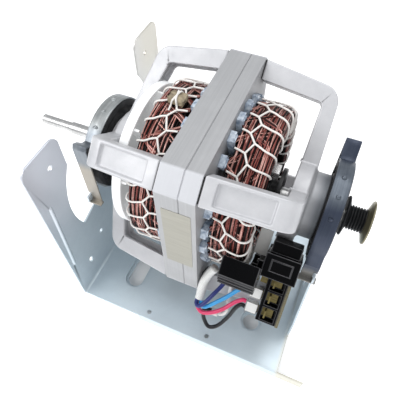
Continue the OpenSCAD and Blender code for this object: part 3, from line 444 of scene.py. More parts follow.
class Along(Enum):
    """What a placed tone fades along: an axis, or a distance from the motor's axis."""

    X = auto()
    Y = auto()
    Z = auto()
    SIDE = auto()
    RADIUS = auto()
    RISING = auto()
    FALLING = auto()

    def fade(self, shader: Shader, start: float, end: float) -> Wire:
        """Goes from 0 at the start of a span to 1 at its end.

        Args:
            shader: The material under construction.
            start: Start of the span, in metres.
            end: Its end.

        Returns:
            A value from 0 to 1.
        """
        if self is Along.SIDE:
            square = shader.axis("Y").squared()
        elif self is Along.RADIUS:
            square = shader.axis("Y").squared() + shader.height().squared()
        elif self is Along.RISING:
            square = ((shader.height() + shader.axis("Y")) * HALF).squared()
        elif self is Along.FALLING:
            square = ((shader.height() - shader.axis("Y")) * HALF).squared()
        else:
            return shader.axis(self.name).between(start, end)
        return square.between(start ** 2, end ** 2)


@dataclass(frozen=True)
class PlacedTone:
    """A tone painted on part of a piece by place, mostly painted light, painted shade and painted
    floor reflection, its share there, and the spans over which it fades in.
    """

    tone: RGB
    share: float
    spans: tuple[tuple[Along, float, float], ...]

    def over(self, shader: Shader, colour: Wire) -> Wire:
        """Mixes the placed tone into a colour.

        Args:
            shader: The material under construction.
            colour: The colour without it.

        Returns:
            The colour with it.
        """
        fades = (along.fade(shader, start, end) for along, start, end in self.spans)
        return shader.mix(math.prod(fades, start=self.share), colour, self.tone)


@dataclass(frozen=True)
class Finish:
    """One finish of the motor: two tones that a grain mixes, how they shine, and the tones placed
    on it, which are mostly painted light and shade.
    """

    name: str
    slot: str
    light: RGB
    dark: RGB
    roughness: float
    grain: Grain
    size: float = 1.0
    metallic: float = 0.0
    relief: float = 0.4
    uneven: float = 0.15
    coat: float = 0.0
    coat_roughness: float = 0.15
    specular: float = 0.5
    glow: float = 0.0
    stains: tuple[PlacedTone, ...] = ()

    def material(self) -> bpy.types.Material:
        """Makes the finish's material, once.

        Returns:
            The material.
        """
        name = self.name + "_finish"
        made = bpy.data.materials.get(name)
        if made:
            return made
        shader = Shader(name)
        grain: Weave = getattr(GrainBook(shader, self.size), self.grain.name.lower())()
        surface = shader.surface.inputs
        colour = shader.mix(grain.mask, self.dark, self.light)
        for placed_tone in self.stains:
            colour = placed_tone.over(shader, colour)
        shader.plug(surface["Base Color"], colour)
        # Painted light: a glowing finish gives off light in its own colour, though it is no lamp.
        if self.glow:
            shader.plug(surface["Emission Color"], colour)
            surface["Emission Strength"].default_value = self.glow
        shader.plug(surface["Roughness"], (0.5 - grain.mask) * self.uneven + self.roughness)
        surface["Metallic"].default_value = self.metallic
        surface["Coat Weight"].default_value = self.coat
        surface["Coat Roughness"].default_value = self.coat_roughness
        surface["Specular IOR Level"].default_value = self.specular
        shader.bump(grain.height, self.relief, grain.depth)
        return shader.material


# Parts of the motor with tones placed on them, mostly painted light and shade, as the spans over
# which a tone fades in, in metres.
HORNS = ((Along.Z, 0.08, 0.16),)
BACK_HORN = (*HORNS, (Along.Y, 0.02, 0.07))
TONGUE = ((Along.X, 0.1115, 0.1155), (Along.Z, 0.020, 0.014))
PAST_FOLDS = ((Along.SIDE, 0.016, 0.023),)
LEFT_LEGS = ((Along.Z, 0.145, 0.137),)
RIGHT_LEGS = ((Along.Z, 0.112, 0.104),)
BARREL = ((Along.RADIUS, 0.0263, 0.0255), (Along.X, 0.0895, 0.1005))
CHAMFERS = (((Along.RISING, 0.0893, 0.0903),), ((Along.FALLING, 0.0893, 0.0903),))

# Tones placed on more than one part: a warm tone, and the painted highlight of the stack's
# chamfers.
WARM: RGB = (0.66, 0.62, 0.50)
PAINTED_CHAMFER_LIGHT: RGB = (0.61, 0.62, 0.65)

ZINC_BRACKET = Finish(
    "zinc_bracket", "galvanised_bracket", (0.63, 0.72, 0.775), (0.59, 0.68, 0.735),
    0.30, Grain.SPANGLE, 5.0, metallic=0.45, relief=0.05, uneven=0.05,
    # Painted light: the horns grow paler towards their tops as a painted highlight, and the tongue
    # gets a warm painted floor reflection. The back horn grows warmer towards its top.
    stains=(PlacedTone((0.70, 0.71, 0.77), 0.8, HORNS), PlacedTone(WARM, 0.8, TONGUE),
            PlacedTone(WARM, 0.7, BACK_HORN)))
ZINC_STRAP = Finish(
    "zinc_strap", "galvanised_strap", (0.56, 0.58, 0.58), (0.30, 0.32, 0.325),
    0.38, Grain.TURNED, 1.4, metallic=0.8, relief=0.15, uneven=0.1,
    # Painted shade: the strap's ends past its folds are darkened. Painted floor reflection: its
    # legs turn tan towards their bottoms.
    stains=(PlacedTone((0.17, 0.195, 0.23), 0.75, PAST_FOLDS),
            PlacedTone((0.40, 0.36, 0.30), 0.8, LEFT_LEGS)))
DARK_STRAP = Finish(
    "dark_strap", "dark_strap", (0.15, 0.175, 0.205), (0.075, 0.09, 0.115),
    0.33, Grain.TURNED, 1.4, metallic=0.4, relief=0.15, specular=0.45,
    # Painted shade: the strap's ends past its folds are darkened further. Painted floor
    # reflection: its legs turn tan towards their bottoms.
    stains=(PlacedTone((0.022, 0.031, 0.062), 0.75, PAST_FOLDS),
            PlacedTone((0.27, 0.26, 0.235), 0.8, RIGHT_LEGS)))
RUBBER = Finish(
    "ring_rubber", "ring_rubber", (0.030, 0.030, 0.032), (0.010, 0.010, 0.011),
    0.6, Grain.POWDERY, 0.9, specular=0.3)
CASTING = Finish(
    "cast_frame", "cast_aluminium", (0.63, 0.632, 0.65), (0.53, 0.535, 0.555),
    0.42, Grain.CAST, 0.9, metallic=0.2, relief=0.35,
    # Painted shade: the right frame's hub barrel is darkened, as the shade that the arms cast over
    # it.
    stains=(PlacedTone((0.10, 0.115, 0.135), 0.85, BARREL),))
BOND = Finish(
    "black_bond", "adhesive", (0.03, 0.03, 0.03), (0.01, 0.01, 0.01),
    0.4, Grain.POWDERY, 1.4)
STACK = Finish(
    "stack_edges", "lamination_steel", (0.46, 0.465, 0.475), (0.36, 0.365, 0.375),
    0.5, Grain.LAMINATED, 0.65, metallic=0.25, relief=0.35,
    # Painted light: the stack's chamfers are painted paler than its flats, as if lit.
    stains=tuple(PlacedTone(PAINTED_CHAMFER_LIGHT, 0.85, chamfer) for chamfer in CHAMFERS))
LINER = Finish(
    "liner_film", "liner_film", (0.62, 0.69, 0.77), (0.20, 0.26, 0.35),
    0.3, Grain.FILM, 3.0)
# Painted light: the pale copper is a painted highlight on some wires, and the near-black copper is
# painted shade between and under the wires. The middle tone is the copper's own.
COPPER_HIGHLIGHT = Finish(
    "copper_painted_highlight", "enamelled_copper", (0.68, 0.42, 0.37), (0.42, 0.15, 0.12),
    0.24, Grain.ENAMEL, 4.0, metallic=0.4, coat=0.2)
COPPER_MID = Finish(
    "copper_mid", "enamelled_copper", (0.30, 0.075, 0.062), (0.15, 0.04, 0.032),
    0.28, Grain.ENAMEL, 4.0, metallic=0.3, specular=0.4)
COPPER_SHADE = Finish(
    "copper_painted_shade", "enamelled_copper", (0.012, 0.005, 0.0045), (0.005, 0.0025, 0.0025),
    0.4, Grain.ENAMEL, 4.0, metallic=0.1, specular=0.15)
LACING = Finish(
    "lacing_cord", "lacing_cord", (0.97, 0.95, 0.92), (0.76, 0.73, 0.69),
    0.75, Grain.WOVEN, 1.1)
BRONZE = Finish(
    "bearing_bronze", "bearing_bronze", (0.55, 0.36, 0.16), (0.33, 0.20, 0.08),
    0.35, Grain.TURNED, 0.5, metallic=0.9)
FELT = Finish(
    "oil_felt", "felt", (0.42, 0.40, 0.36), (0.24, 0.22, 0.19),
    0.9, Grain.FIBRE, 0.7)
BRIGHT = Finish(
    "bright_steel", "bright_steel", (0.88, 0.88, 0.87), (0.66, 0.66, 0.66),
    0.25, Grain.TURNED, 0.5, metallic=0.85, relief=0.3)
SHAFT = Finish(
    "shaft_steel", "bright_steel", (0.74, 0.74, 0.73), (0.44, 0.44, 0.44),
    0.3, Grain.TURNED, 1.2, metallic=0.8, relief=0.3)
PLATE = Finish(
    "bare_plate", "bare_plate", (0.36, 0.35, 0.30), (0.32, 0.31, 0.265),
    0.45, Grain.BRUSHED, 1.2, metallic=0.1, relief=0.1)
ROTOR = Finish(
    "rotor_steel", "rotor_steel", (0.34, 0.32, 0.30), (0.18, 0.17, 0.16),
    0.45, Grain.LAMINATED, 0.65, metallic=0.6)
FAN = Finish(
    "fan_plastic", "fan_plastic", (0.90, 0.91, 0.91), (0.80, 0.82, 0.83),
    # Painted light: the fan gives off a faint light of its own colour, which lightens its shaded
    # faces.
    0.42, Grain.MOULDED, 0.8, glow=0.16)
BLACK = Finish(
    "black_plastic", "black_plastic", (0.020, 0.020, 0.022), (0.008, 0.008, 0.009),
    0.36, Grain.MOULDED, 0.7, specular=0.35)
GREY = Finish(
    "grey_plastic", "grey_plastic", (0.42, 0.43, 0.43), (0.30, 0.31, 0.31),
    0.4, Grain.MOULDED, 0.7)
BLACK_STEEL = Finish(
    "black_steel", "black_steel", (0.022, 0.023, 0.025), (0.008, 0.009, 0.010),
    0.38, Grain.TURNED, 0.6, metallic=0.2, specular=0.35)
PASSIVATED = Finish(
    "passivated_steel", "passivated_steel", (0.36, 0.33, 0.22), (0.20, 0.18, 0.11),
    0.34, Grain.TURNED, 0.7, metallic=0.7)
SWITCH = Finish(
    "switch_moulding", "switch_moulding", (0.003, 0.003, 0.0035), (0.0015, 0.0015, 0.002),
    0.14, Grain.MOULDED, 0.9, relief=0.12, uneven=0.06, specular=0.08)
# Painted highlight: the switch's rounded edges are lighter than its faces, as if they caught the
# light.
SWITCH_EDGE_HIGHLIGHT = Finish(
    "switch_edge_highlight", "switch_moulding", (0.07, 0.07, 0.075), (0.012, 0.012, 0.014),
    0.16, Grain.MOULDED, 2.5, relief=0.1, uneven=0.06)
LEVER = Finish(
    "lever_plastic", "lever_plastic", (0.62, 0.62, 0.60), (0.46, 0.46, 0.45),
    0.4, Grain.MOULDED, 0.7)
BRASS = Finish(
    "terminal_brass", "terminal_brass", (0.34, 0.28, 0.11), (0.16, 0.125, 0.05),
    0.34, Grain.BRUSHED, 0.8, metallic=0.7)
BOARD = Finish(
    "fibre_board", "fibre_board", (0.20, 0.18, 0.11), (0.12, 0.105, 0.065),
    0.6, Grain.FIBRE, 0.8)
CREAM = Finish(
    "cream_case", "cream_case", (0.50, 0.42, 0.28), (0.06, 0.04, 0.028),
    0.5, Grain.FIBRE, 3.0)
WHITE = Finish(
    "white_plastic", "white_plastic", (0.74, 0.74, 0.73), (0.56, 0.56, 0.55),
    0.4, Grain.MOULDED, 0.7)
FLAG_EDGE = Finish(
    "flag_edge", "white_plastic", (0.40, 0.38, 0.34), (0.05, 0.045, 0.04),
    0.3, Grain.FIBRE, 1.6, metallic=0.5)
SLEEVE = Finish(
    "white_sleeve", "white_sleeve", (0.84, 0.84, 0.82), (0.55, 0.56, 0.56),
    0.6, Grain.WOVEN, 1.6)
BLUE = Finish(
    "blue_lead", "blue_insulation", (0.05, 0.38, 0.76), (0.025, 0.24, 0.54),
    0.33, Grain.MOULDED, 0.9)
RED = Finish(
    "red_lead", "red_insulation", (0.76, 0.05, 0.16), (0.50, 0.025, 0.09),
    0.33, Grain.MOULDED, 0.9)
DARK_LEAD = Finish(
    "grey_lead", "grey_insulation", (0.022, 0.024, 0.028), (0.008, 0.009, 0.011),
    0.3, Grain.MOULDED, 0.9, specular=0.25)
NAVY = Finish(
    "navy_lead", "navy_insulation", (0.018, 0.03, 0.20), (0.009, 0.015, 0.10),
    0.35, Grain.MOULDED, 0.9)
COPPERS = (COPPER_HIGHLIGHT, COPPER_MID, COPPER_SHADE)

Dress = tuple[str, Finish, float]


def pick(obj: bpy.types.Object) -> None:
    """Leaves one piece selected and active.

    Args:
        obj: The piece.
    """
    bpy.ops.object.select_all(action="DESELECT")
    obj.select_set(True)
    bpy.context.view_layer.objects.active = obj


@contextmanager
def editing(obj: bpy.types.Object) -> Iterator[None]:
    """Opens a piece in edit mode with all of it selected, and closes it again.

    Args:
        obj: The piece.

    Yields:
        Nothing, while the piece is open.
    """
    pick(obj)
    bpy.ops.object.mode_set(mode="EDIT")
    bpy.ops.mesh.select_all(action="SELECT")
    yield
    bpy.ops.object.mode_set(mode="OBJECT")


def paint(obj: bpy.types.Object, *finishes: Finish) -> None:
    """Gives a piece its finishes in order.

    Args:
        obj: The piece.
        finishes: The finishes, which faces name by number.
    """
    obj.data.materials.clear()
    for finish in finishes:
        obj.data.materials.append(finish.material())


def mark_edges(obj: bpy.types.Object, widest: float) -> None:
    """Marks the sharp edges that get rounded, which are all but those of small punched holes.

    Args:
        obj: The piece.
        widest: Width of the widest hole that is left sharp, in mm.
    """
    with editing(obj):
        bpy.ops.mesh.select_mode(type="EDGE")
        bpy.ops.mesh.select_all(action="DESELECT")
        bpy.ops.mesh.edges_select_sharp(sharpness=math.radians(SHARP_ANGLE))
    mesh = obj.data
    sharp = [edge for edge in mesh.edges if edge.select]
    leads_to = list(range(len(mesh.vertices)))

    def loop_of(corner: int) -> int:
        """Finds the loop that a corner belongs to.

        Args:
            corner: Number of the corner.

        Returns:
            Number of the loop.
        """
        while leads_to[corner] != corner:
            leads_to[corner] = leads_to[leads_to[corner]]
            corner = leads_to[corner]
        return corner

    for edge in sharp:
        leads_to[loop_of(edge.vertices[0])] = loop_of(edge.vertices[1])
    loops: dict[int, list[Vector]] = {}
    for edge in sharp:
        for corner in edge.vertices:
            loops.setdefault(loop_of(corner), []).append(mesh.vertices[corner].co)
    width = {number: max(max(p[k] for p in loop) - min(p[k] for p in loop) for k in range(3))
             for number, loop in loops.items()}
    weights = mesh.attributes.new("bevel_weight_edge", "FLOAT", "EDGE")
    for edge in sharp:
        wide = width[loop_of(edge.vertices[0])] > widest / MM
        weights.data[edge.index].value = float(wide)


def soften(obj: bpy.types.Object, width: float, segments: int, widest_hole: float,
           edge_finish: int) -> None:
    """Rounds a piece's sharp edges, smooths its round faces and keeps its flat ones flat.

    Args:
        obj: The piece.
        width: Width of the rounding, in mm, or 0 for none.
        segments: Faces across the rounding.
        widest_hole: Width of the widest sharp hole of a folded sheet, in mm, or 0 for another
            piece. Faces of such a sheet that are square to the axes stay flat.
        edge_finish: Number of the finish on the rounding.
    """
    if widest_hole:
        mark_edges(obj, widest_hole)
    pick(obj)
    if width:
        bevel = obj.modifiers.new("rounding", "BEVEL")
        bevel.width = width / MM
        bevel.segments = segments
        bevel.limit_method = "WEIGHT" if widest_hole else "ANGLE"
        bevel.angle_limit = math.radians(SHARP_ANGLE)
        bevel.use_clamp_overlap = False
        bevel.material = edge_finish
        bpy.ops.object.modifier_apply(modifier=bevel.name)
    bpy.ops.object.shade_smooth_by_angle(angle=math.radians(SHARP_ANGLE))
    if widest_hole:
        for face in obj.data.polygons:
            face.use_smooth = max(abs(c) for c in face.normal) < SQUARE
        return
    flats = obj.modifiers.new("flat_faces", "WEIGHTED_NORMAL")
    flats.mode = "FACE_AREA"
    flats.keep_sharp = True
    bpy.ops.object.modifier_apply(modifier=flats.name)


def carried(node: str, finish: Finish, width: float = 0.0, segments: int = 2,
            widest_hole: float = 0.0, edges: Finish | None = None) -> bpy.types.Object:
    """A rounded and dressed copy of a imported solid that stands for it.

    Args:
        node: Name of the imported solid.
        finish: Its finish.
        width: Width of the rounded edges, in mm.
        segments: Faces across a rounded edge.
        widest_hole: Width of the widest sharp hole of a folded sheet, in mm, or 0 for another
            piece.
        edges: Finish of the rounded edges, if they have one of their own.

    Returns:
        The piece, riding on the solid's own body.
    """
    source = frame["nodes"][node]
    obj = bpy.data.objects.new(node + "_piece", source.data.copy())
    bpy.context.scene.collection.objects.link(obj)
    with editing(obj):
        bpy.ops.mesh.remove_doubles(threshold=SOLID_WELD)
        bpy.ops.mesh.customdata_custom_splitnormals_clear()
        bpy.ops.mesh.beautify_fill(angle_limit=math.radians(FLAT_ANGLE))
    finishes = (finish, edges) if edges else (finish,)
    paint(obj, *finishes)
    soften(obj, width, segments, widest_hole, len(finishes) - 1)
    return settle(obj, source["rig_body"], finish.slot, node)


def carry(table: Iterable[Dress]) -> None:
    """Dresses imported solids, given with their finish and the width of their edges in mm."""
    for node, finish, width in table:
        carried(node, finish, width)


def settle(obj: bpy.types.Object, body: str, slot: str, *nodes: str) -> bpy.types.Object:
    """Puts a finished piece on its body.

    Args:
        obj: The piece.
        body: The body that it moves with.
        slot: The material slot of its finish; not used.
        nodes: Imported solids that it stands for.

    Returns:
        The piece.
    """
    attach(obj, body)
    if nodes:
        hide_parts(*nodes)
    LOG.info("piece %s on %s, %d faces", obj.name, body, len(obj.data.polygons))
    return obj


def strands(name: str, runs: Sequence[Run], radius: float, fineness: int,
            finishes: Sequence[Finish], closed: bool = False) -> bpy.types.Object:
    """Round wires swept along routes, made one mesh.

    Args:
        name: Name of the piece.
        runs: Each wire's points and the number of its finish.
        radius: Radius of a wire, in mm.
        fineness: Extra fineness of a wire's section.
        finishes: Finishes that the numbers name.
        closed: Whether each wire joins its own start.

    Returns:
        The mesh piece.
    """
    curve = bpy.data.curves.new(name, "CURVE")
    curve.dimensions = "3D"
    curve.bevel_depth = radius / MM
    curve.bevel_resolution = fineness
    curve.use_fill_caps = not closed
    for finish in finishes:
        curve.materials.append(finish.material())
    for route, number in runs:
        spline = curve.splines.new("POLY")
        spline.points.add(len(route) - 1)
        spline.points.foreach_set("co", [c for p in route for c in (*p, 1.0)])
        spline.use_cyclic_u = closed
        spline.use_smooth = True
        spline.material_index = number
    obj = bpy.data.objects.new(name, curve)
    bpy.context.scene.collection.objects.link(obj)
    pick(obj)
    bpy.ops.object.convert(target="MESH")
    with editing(obj):
        bpy.ops.mesh.remove_doubles(threshold=WIRE_WELD)
        bpy.ops.mesh.normals_make_consistent(inside=False)
    bpy.ops.object.shade_smooth()
    return obj


@dataclass
class Cradle:
    """Bracket, clamp straps and rubber rings. Sizes in mm."""

    sheet_edge: float = 0.45
    sheet_hole: float = 45.0
    strap_edge: float = 0.3
    strap_hole: float = 9.0
    ring_edge: float = 0.8

    def build(self) -> None:
        """Dresses the bracket, the straps and the rings."""
        carried("mounting_bracket", ZINC_BRACKET, self.sheet_edge, widest_hole=self.sheet_hole)
        for side, finish in (("left", ZINC_STRAP), ("right", DARK_STRAP)):
            carried(side + "_clamp_strap", finish, self.strap_edge, widest_hole=self.strap_hole)
        for side in ("left", "right"):
            carried(side + "_mount_ring", RUBBER, self.ring_edge)


@dataclass
class Stator:
    """End frames, stack and what is fixed to them. Sizes in mm."""

    cast_edge: float = 1.1
    cast_segments: int = 3
    at_each_end: tuple[Dress, ...] = (
        ("bearing", BRONZE, 0.3), ("oil_felt", FELT, 0.3), ("felt_retainer", BRIGHT, 0.3))
    between_ends: tuple[Dress, ...] = (
        ("frame_bond_pads", BOND, 0.0), ("stator_stack", STACK, 0.4),
        # Painted shade: the wound solid under the wires gets the near-black copper, as the shade
        # between the wires.
        ("slot_liners", LINER, 0.35), ("stator_winding", COPPER_SHADE, 0.0),
        ("rating_plate", PLATE, 0.0), ("thermal_protector", CREAM, 0.8))

    def build(self) -> None:
        """Dresses the frames, the stack, the liners and the small fixed pieces."""
        for side in ("left_", "right_"):
            carried(side + "end_frame", CASTING, self.cast_edge, self.cast_segments)
            carry((side + node, finish, width) for node, finish, width in self.at_each_end)
        carry(self.between_ends)


@dataclass(frozen=True)
class CoilPlan:
    """How the wires of a coil lie. Lanes and rises in mm, ramps and steps in degrees."""

    per_slot: int = 2
    wires: int = 7
    wire_r: float = 0.52
    fineness: int = 1
    reaches: tuple[int, ...] = (4, 5, 6, 7)
    lanes: Span = (0.0, 30.0)
    width: float = 11.5
    wander: Span = (-0.3, 0.3)
    rise: Span = (0.2, 1.0)
    wire_rise: Span = (0.0, 0.9)
    most_rise: float = 1.6
    phase: Span = (0.0, 6.28)
    sway: Span = (0.3, 1.2)
    waves: float = 5.0
    slot_angle: float = 0.075
    nest_angle: float = 0.15
    ramp: float = 8.0
    ramp_per_lane: float = 0.42
    step: float = 3.0
    sunk: float = 3.0
    # Finish of each wire in turn: 0 is the painted highlight, 1 the copper's own tone, 2 the
    # painted shade.
    tones: tuple[int, ...] = (0, 2, 1, 2, 0, 1, 2)


@dataclass(frozen=True)
class BedPlan:
    """How the bundle's own turns lie under the coils. Lanes and rises in mm."""

    pitch: float = 1.25
    wire_r: float = 0.6
    fineness: int = 0
    first: float = 0.6
    reach: float = 36.0
    wander: Span = (-0.3, 0.3)
    rise: Span = (0.0, 0.35)
    phase: Span = (0.0, 6.28)
    sway: Span = (0.2, 0.5)
    waves: float = 5.0
    points: int = 120
    # Finish of each turn, picked at random: 1 is the copper's own tone, 2 the painted shade.
    tones: tuple[int, ...] = (1, 2, 2, 2, 2)


@dataclass(frozen=True)
class LacePlan:
    """How the lacing lies. Lanes in mm, each with a share of a cell or of the cord's lean."""

    cells: int = 26
    cord_r: float = 0.72
    fineness: int = 1
    lift: float = 3.0
    steps: int = 5
    knot_lane: float = 10.5
    knot_wander: Span = (-1.0, 1.0)
    knot_shift: Span = (-0.1, 0.1)
    tie_lane: float = 6.2
    tie_wander: Span = (-0.8, 0.8)
    tie_shift: float = 0.42
    lean: Span = (0.1, 0.35)
    neck: Span = (14.5, 0.10)
    over: tuple[Span, ...] = ((20.0, 1.0), (26.0, 1.0), (33.0, 0.6), (41.0, 0.4))
    foot: tuple[Span, ...] = ((3.0, 0.06), (-0.5, 0.1))
    box_x: Span = (-32.2, -26.4)
    over_box: tuple[Span, ...] = (
        (-8.6, 60.8), (-6.1, 63.4), (-5.2, 66.6), (-3.8, 67.8), (0.0, 68.0), (3.8, 67.8),
        (5.2, 66.6), (6.1, 63.4), (8.6, 60.8))


@dataclass
class EndWindings:
    """Enamelled wires from slot to slot at each end, and the cord that laces them. Sizes in mm."""

    slots: int = 24
    seed: int = 40
    foot_x: float = 19.6
    corner_x: float = 38.8
    corner: float = 3.4
    outer_r: float = 60.1
    inner_r: float = 45.0
    coils: CoilPlan = CoilPlan()
    bed: BedPlan = BedPlan()
    lace: LacePlan = LacePlan()

    def on_lane(self, side: int, lane: float, lift: float, angle: float) -> Vector:
        """A place on the bundle's skin.

        Args:
            side: -1 at the blower end, 1 at the pulley end.
            lane: Way from the stack over the outside, the end and the inside, in mm.
            lift: Height over the skin, in mm.
            angle: Angle from the top, in radians.

        Returns:
            The place.
        """
        quarter = self.corner * math.pi / 2
        outside = self.corner_x - self.foot_x
        face = self.outer_r - self.inner_r - 2 * self.corner
        if lane < outside:
            x, r = self.foot_x + lane, self.outer_r + lift
        elif lane < outside + quarter:
            turn = (lane - outside) / self.corner
            x = self.corner_x + (self.corner + lift) * math.sin(turn)
            r = self.outer_r - self.corner + (self.corner + lift) * math.cos(turn)
        elif lane < outside + quarter + face:
            x = self.corner_x + self.corner + lift
            r = self.outer_r - self.corner - (lane - outside - quarter)
        else:
            turn = min((lane - outside - quarter - face) / self.corner, math.pi / 2)
            x = self.corner_x + (self.corner + lift) * math.cos(turn)
            r = self.inner_r + self.corner - (self.corner + lift) * math.sin(turn)
        return polar(side * x, r, angle)

    def coil(self, side: int, slot: int, chance: random.Random) -> list[Run]:
        """One coil's wires, which leave a slot side by side, cross the bundle and enter another.

        Args:
            side: -1 at the blower end, 1 at the pulley end.
            slot: Number of the first slot.
            chance: Source of the coil's lane and of each wire's wander.

        Returns:
            Each wire's points and the number of its finish.
        """
        plan = self.coils
        pitch = TURN / self.slots
        reach = chance.choice(plan.reaches) * pitch
        base, height = chance.uniform(*plan.lanes), chance.uniform(*plan.rise)
        phase, sway = chance.uniform(*plan.phase), chance.uniform(*plan.sway)
        wires: list[Run] = []
        for number in range(plan.wires):
            across = (number + chance.uniform(*plan.wander)) / plan.wires
            lane = base + across * plan.width
            start = slot * pitch + (across - 0.5) * plan.slot_angle
            span = reach - (across - 0.5) * plan.nest_angle
            lift = min(height + chance.uniform(*plan.wire_rise), plan.most_rise)
            ramp = math.radians(plan.ramp + lane * plan.ramp_per_lane)
            steps = round(math.degrees(span) / plan.step)
            route: Route = []
            for k in range(steps + 1):
                u = k / steps
                rise = min(1.0, u * span / ramp, (1 - u) * span / ramp)
                ease = rise * rise * (3 - 2 * rise)
                swing = sway * math.sin(phase + u * plan.waves)
                place = (lane + plan.sunk + swing) * ease - plan.sunk
                route.append(self.on_lane(side, place, lift * (0.5 + 0.5 * ease),
                                          start + u * span))
            wires.append((route, plan.tones[number % len(plan.tones)]))
        return wires

    def ground(self, side: int, chance: random.Random) -> list[Run]:
        """The bundle's own turns, which lie side by side all round it under the coils.

        Args:
            side: -1 at the blower end, 1 at the pulley end.
            chance: Source of each turn's wander and tone.

        Returns:
            Each turn's points and the number of its finish.
        """
        plan = self.bed
        angles = [TURN * k / plan.points for k in range(plan.points)]
        turns: list[Run] = []
        for number in range(round(plan.reach / plan.pitch)):
            lane = plan.first + number * plan.pitch + chance.uniform(*plan.wander)
            phase, sway = chance.uniform(*plan.phase), chance.uniform(*plan.sway)
            lift = chance.uniform(*plan.rise)
            route = [self.on_lane(side, lane + sway * math.sin(phase + plan.waves * a), lift, a)
                     for a in angles]
            turns.append((route, chance.choice(plan.tones)))
        return turns

    def net(self, side: int, chance: random.Random) -> list[Run]:
        """The lacing: a net of cells that crosses the bundle and ties each arc to the next.

        Args:
            side: -1 at the blower end, 1 at the pulley end.
            chance: Source of each knot's own place.

        Returns:
            The cords' points, each with finish 0.
        """
        plan = self.lace
        pitch = TURN / plan.cells
        cords: list[Run] = []

        def cord(*knots: Span) -> None:
            """Lays a cord through knots of (lane, angle)."""
            places = smooth_route([Vector((*knot, 0)) for knot in knots], plan.steps)
            cords.append(([self.on_lane(side, p[0], plan.lift, p[1]) for p in places], 0))

        knots = [(plan.knot_lane + chance.uniform(*plan.knot_wander),
                  (i + chance.uniform(*plan.knot_shift)) * pitch) for i in range(plan.cells)]
        ties = [(plan.tie_lane + chance.uniform(*plan.tie_wander), angle + plan.tie_shift * pitch)
                for _, angle in knots]
        neck_lane, neck_shift = plan.neck
        for i, (knot, tie) in enumerate(zip(knots, ties)):
            ahead = (i + 1) % plan.cells
            after = (knots[ahead][0], knots[ahead][1] + (TURN if ahead == 0 else 0.0))
            lean = chance.uniform(*plan.lean) * pitch
            cord(knot, (neck_lane, knot[1] - neck_shift * pitch),
                 *((lane, knot[1] - lean * share) for lane, share in plan.over))
            cord(knot, tie)
            cord(tie, after)
            cord(tie, *((lane, tie[1] + share * pitch) for lane, share in plan.foot))
        return cords

    def ties(self) -> list[Run]:
        """The two cords that cross on the protector and tie it down.

        Returns:
            The cords' points, each with finish 0.
        """
        plan = self.lace
        last = len(plan.over_box) - 1
        cords: list[Run] = []
        for start, end in (plan.box_x, plan.box_x[::-1]):
            knots = [at(start + (end - start) * k / last, y, z)
                     for k, (y, z) in enumerate(plan.over_box)]
            cords.append((smooth_route(knots, plan.steps), 0))
        return cords

    def build(self) -> None:
        """Winds and laces both ends, and ties the protector down."""
        coils, bed, lace = self.coils, self.bed, self.lace
        for side, word in ((-1, "left"), (1, "right")):
            chance = random.Random(self.seed + side)
            wires = [wire for slot in range(self.slots) for _ in range(coils.per_slot)
                     for wire in self.coil(side, slot, chance)]
            turns = strands(word + "_coil_wires", wires, coils.wire_r, coils.fineness, COPPERS)
            settle(turns, "stator", COPPER_MID.slot, word + "_winding_turns")
            base = strands(word + "_ground_turns", self.ground(side, chance), bed.wire_r,
                           bed.fineness, COPPERS, closed=True)
            settle(base, "stator", COPPER_MID.slot)
            cords = strands(word + "_lacing_net", self.net(side, chance), lace.cord_r,
                            lace.fineness, (LACING,))
            settle(cords, "stator", LACING.slot, word + "_lacing")
        ties = strands("protector_ties", self.ties(), lace.cord_r, lace.fineness, (LACING,))
        settle(ties, "stator", LACING.slot)


@dataclass
class Rotor:
    """Shaft with its thread, rotor, fan, pulley and washers. Sizes in mm."""

    thread_from: float = -158.0
    thread_to: float = -130.5
    thread_r: float = 3.72
    thread_pitch: float = 1.5
    thread_points: int = 24
    ridge: float = 0.42
    ridge_fineness: int = 0
    shaft_edge: float = 0.3
    on_shaft: tuple[Dress, ...] = (
        ("rotor_core", ROTOR, 0.2), ("left_end_ring", CASTING, 0.6),
        ("right_end_ring", CASTING, 0.6), ("cooling_fan", FAN, 0.5),
        ("thrust_washers", GREY, 0.2), ("drive_pulley", BLACK_STEEL, 0.25),
        ("pulley_flange", PASSIVATED, 0.4))

    def thread(self) -> None:
        """Winds the ridge of the blower thread."""
        turns = (self.thread_to - self.thread_from) / self.thread_pitch
        route = helix(self.thread_from, self.thread_to, self.thread_r, turns, self.thread_points)
        ridge = strands("blower_thread", [(route, 0)], self.ridge, self.ridge_fineness, (SHAFT,))
        settle(ridge, "rotor", SHAFT.slot)

    def build(self) -> None:
        """Dresses all that turns."""
        carried("shaft", SHAFT, self.shaft_edge)
        self.thread()
        carry(self.on_shaft)


@dataclass
class Governor:
    """Centrifugal actuator: hub, collar, weights and spring. Sizes in mm."""

    actuator: tuple[Dress, ...] = (
        ("governor_hub", BLACK_STEEL, 0.3), ("governor_collar", BLACK, 0.4),
        ("governor_weight_a", BRIGHT, 0.3), ("governor_weight_b", BRIGHT, 0.3))
    spring_from: float = 32.6
    spring_to: float = 40.4
    spring_r: float = 7.9
    spring_points: int = 40
    curls: int = 4
    wire_r: float = 0.45
    wire_fineness: int = 2

    def build(self) -> None:
        """Dresses the actuator and winds its spring."""
        carry(self.actuator)
        route = helix(self.spring_from, self.spring_to, self.spring_r, self.curls,
                      self.spring_points)
        spring = strands("governor_coil", [(route, 0)], self.wire_r, self.wire_fineness, (BRIGHT,))
        at(self.spring_from, 0, 0)
        at(self.spring_to, 0, 0)
        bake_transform(spring)
        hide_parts("governor_spring")
        LOG.info("piece %s between rotor and collar", spring.name)


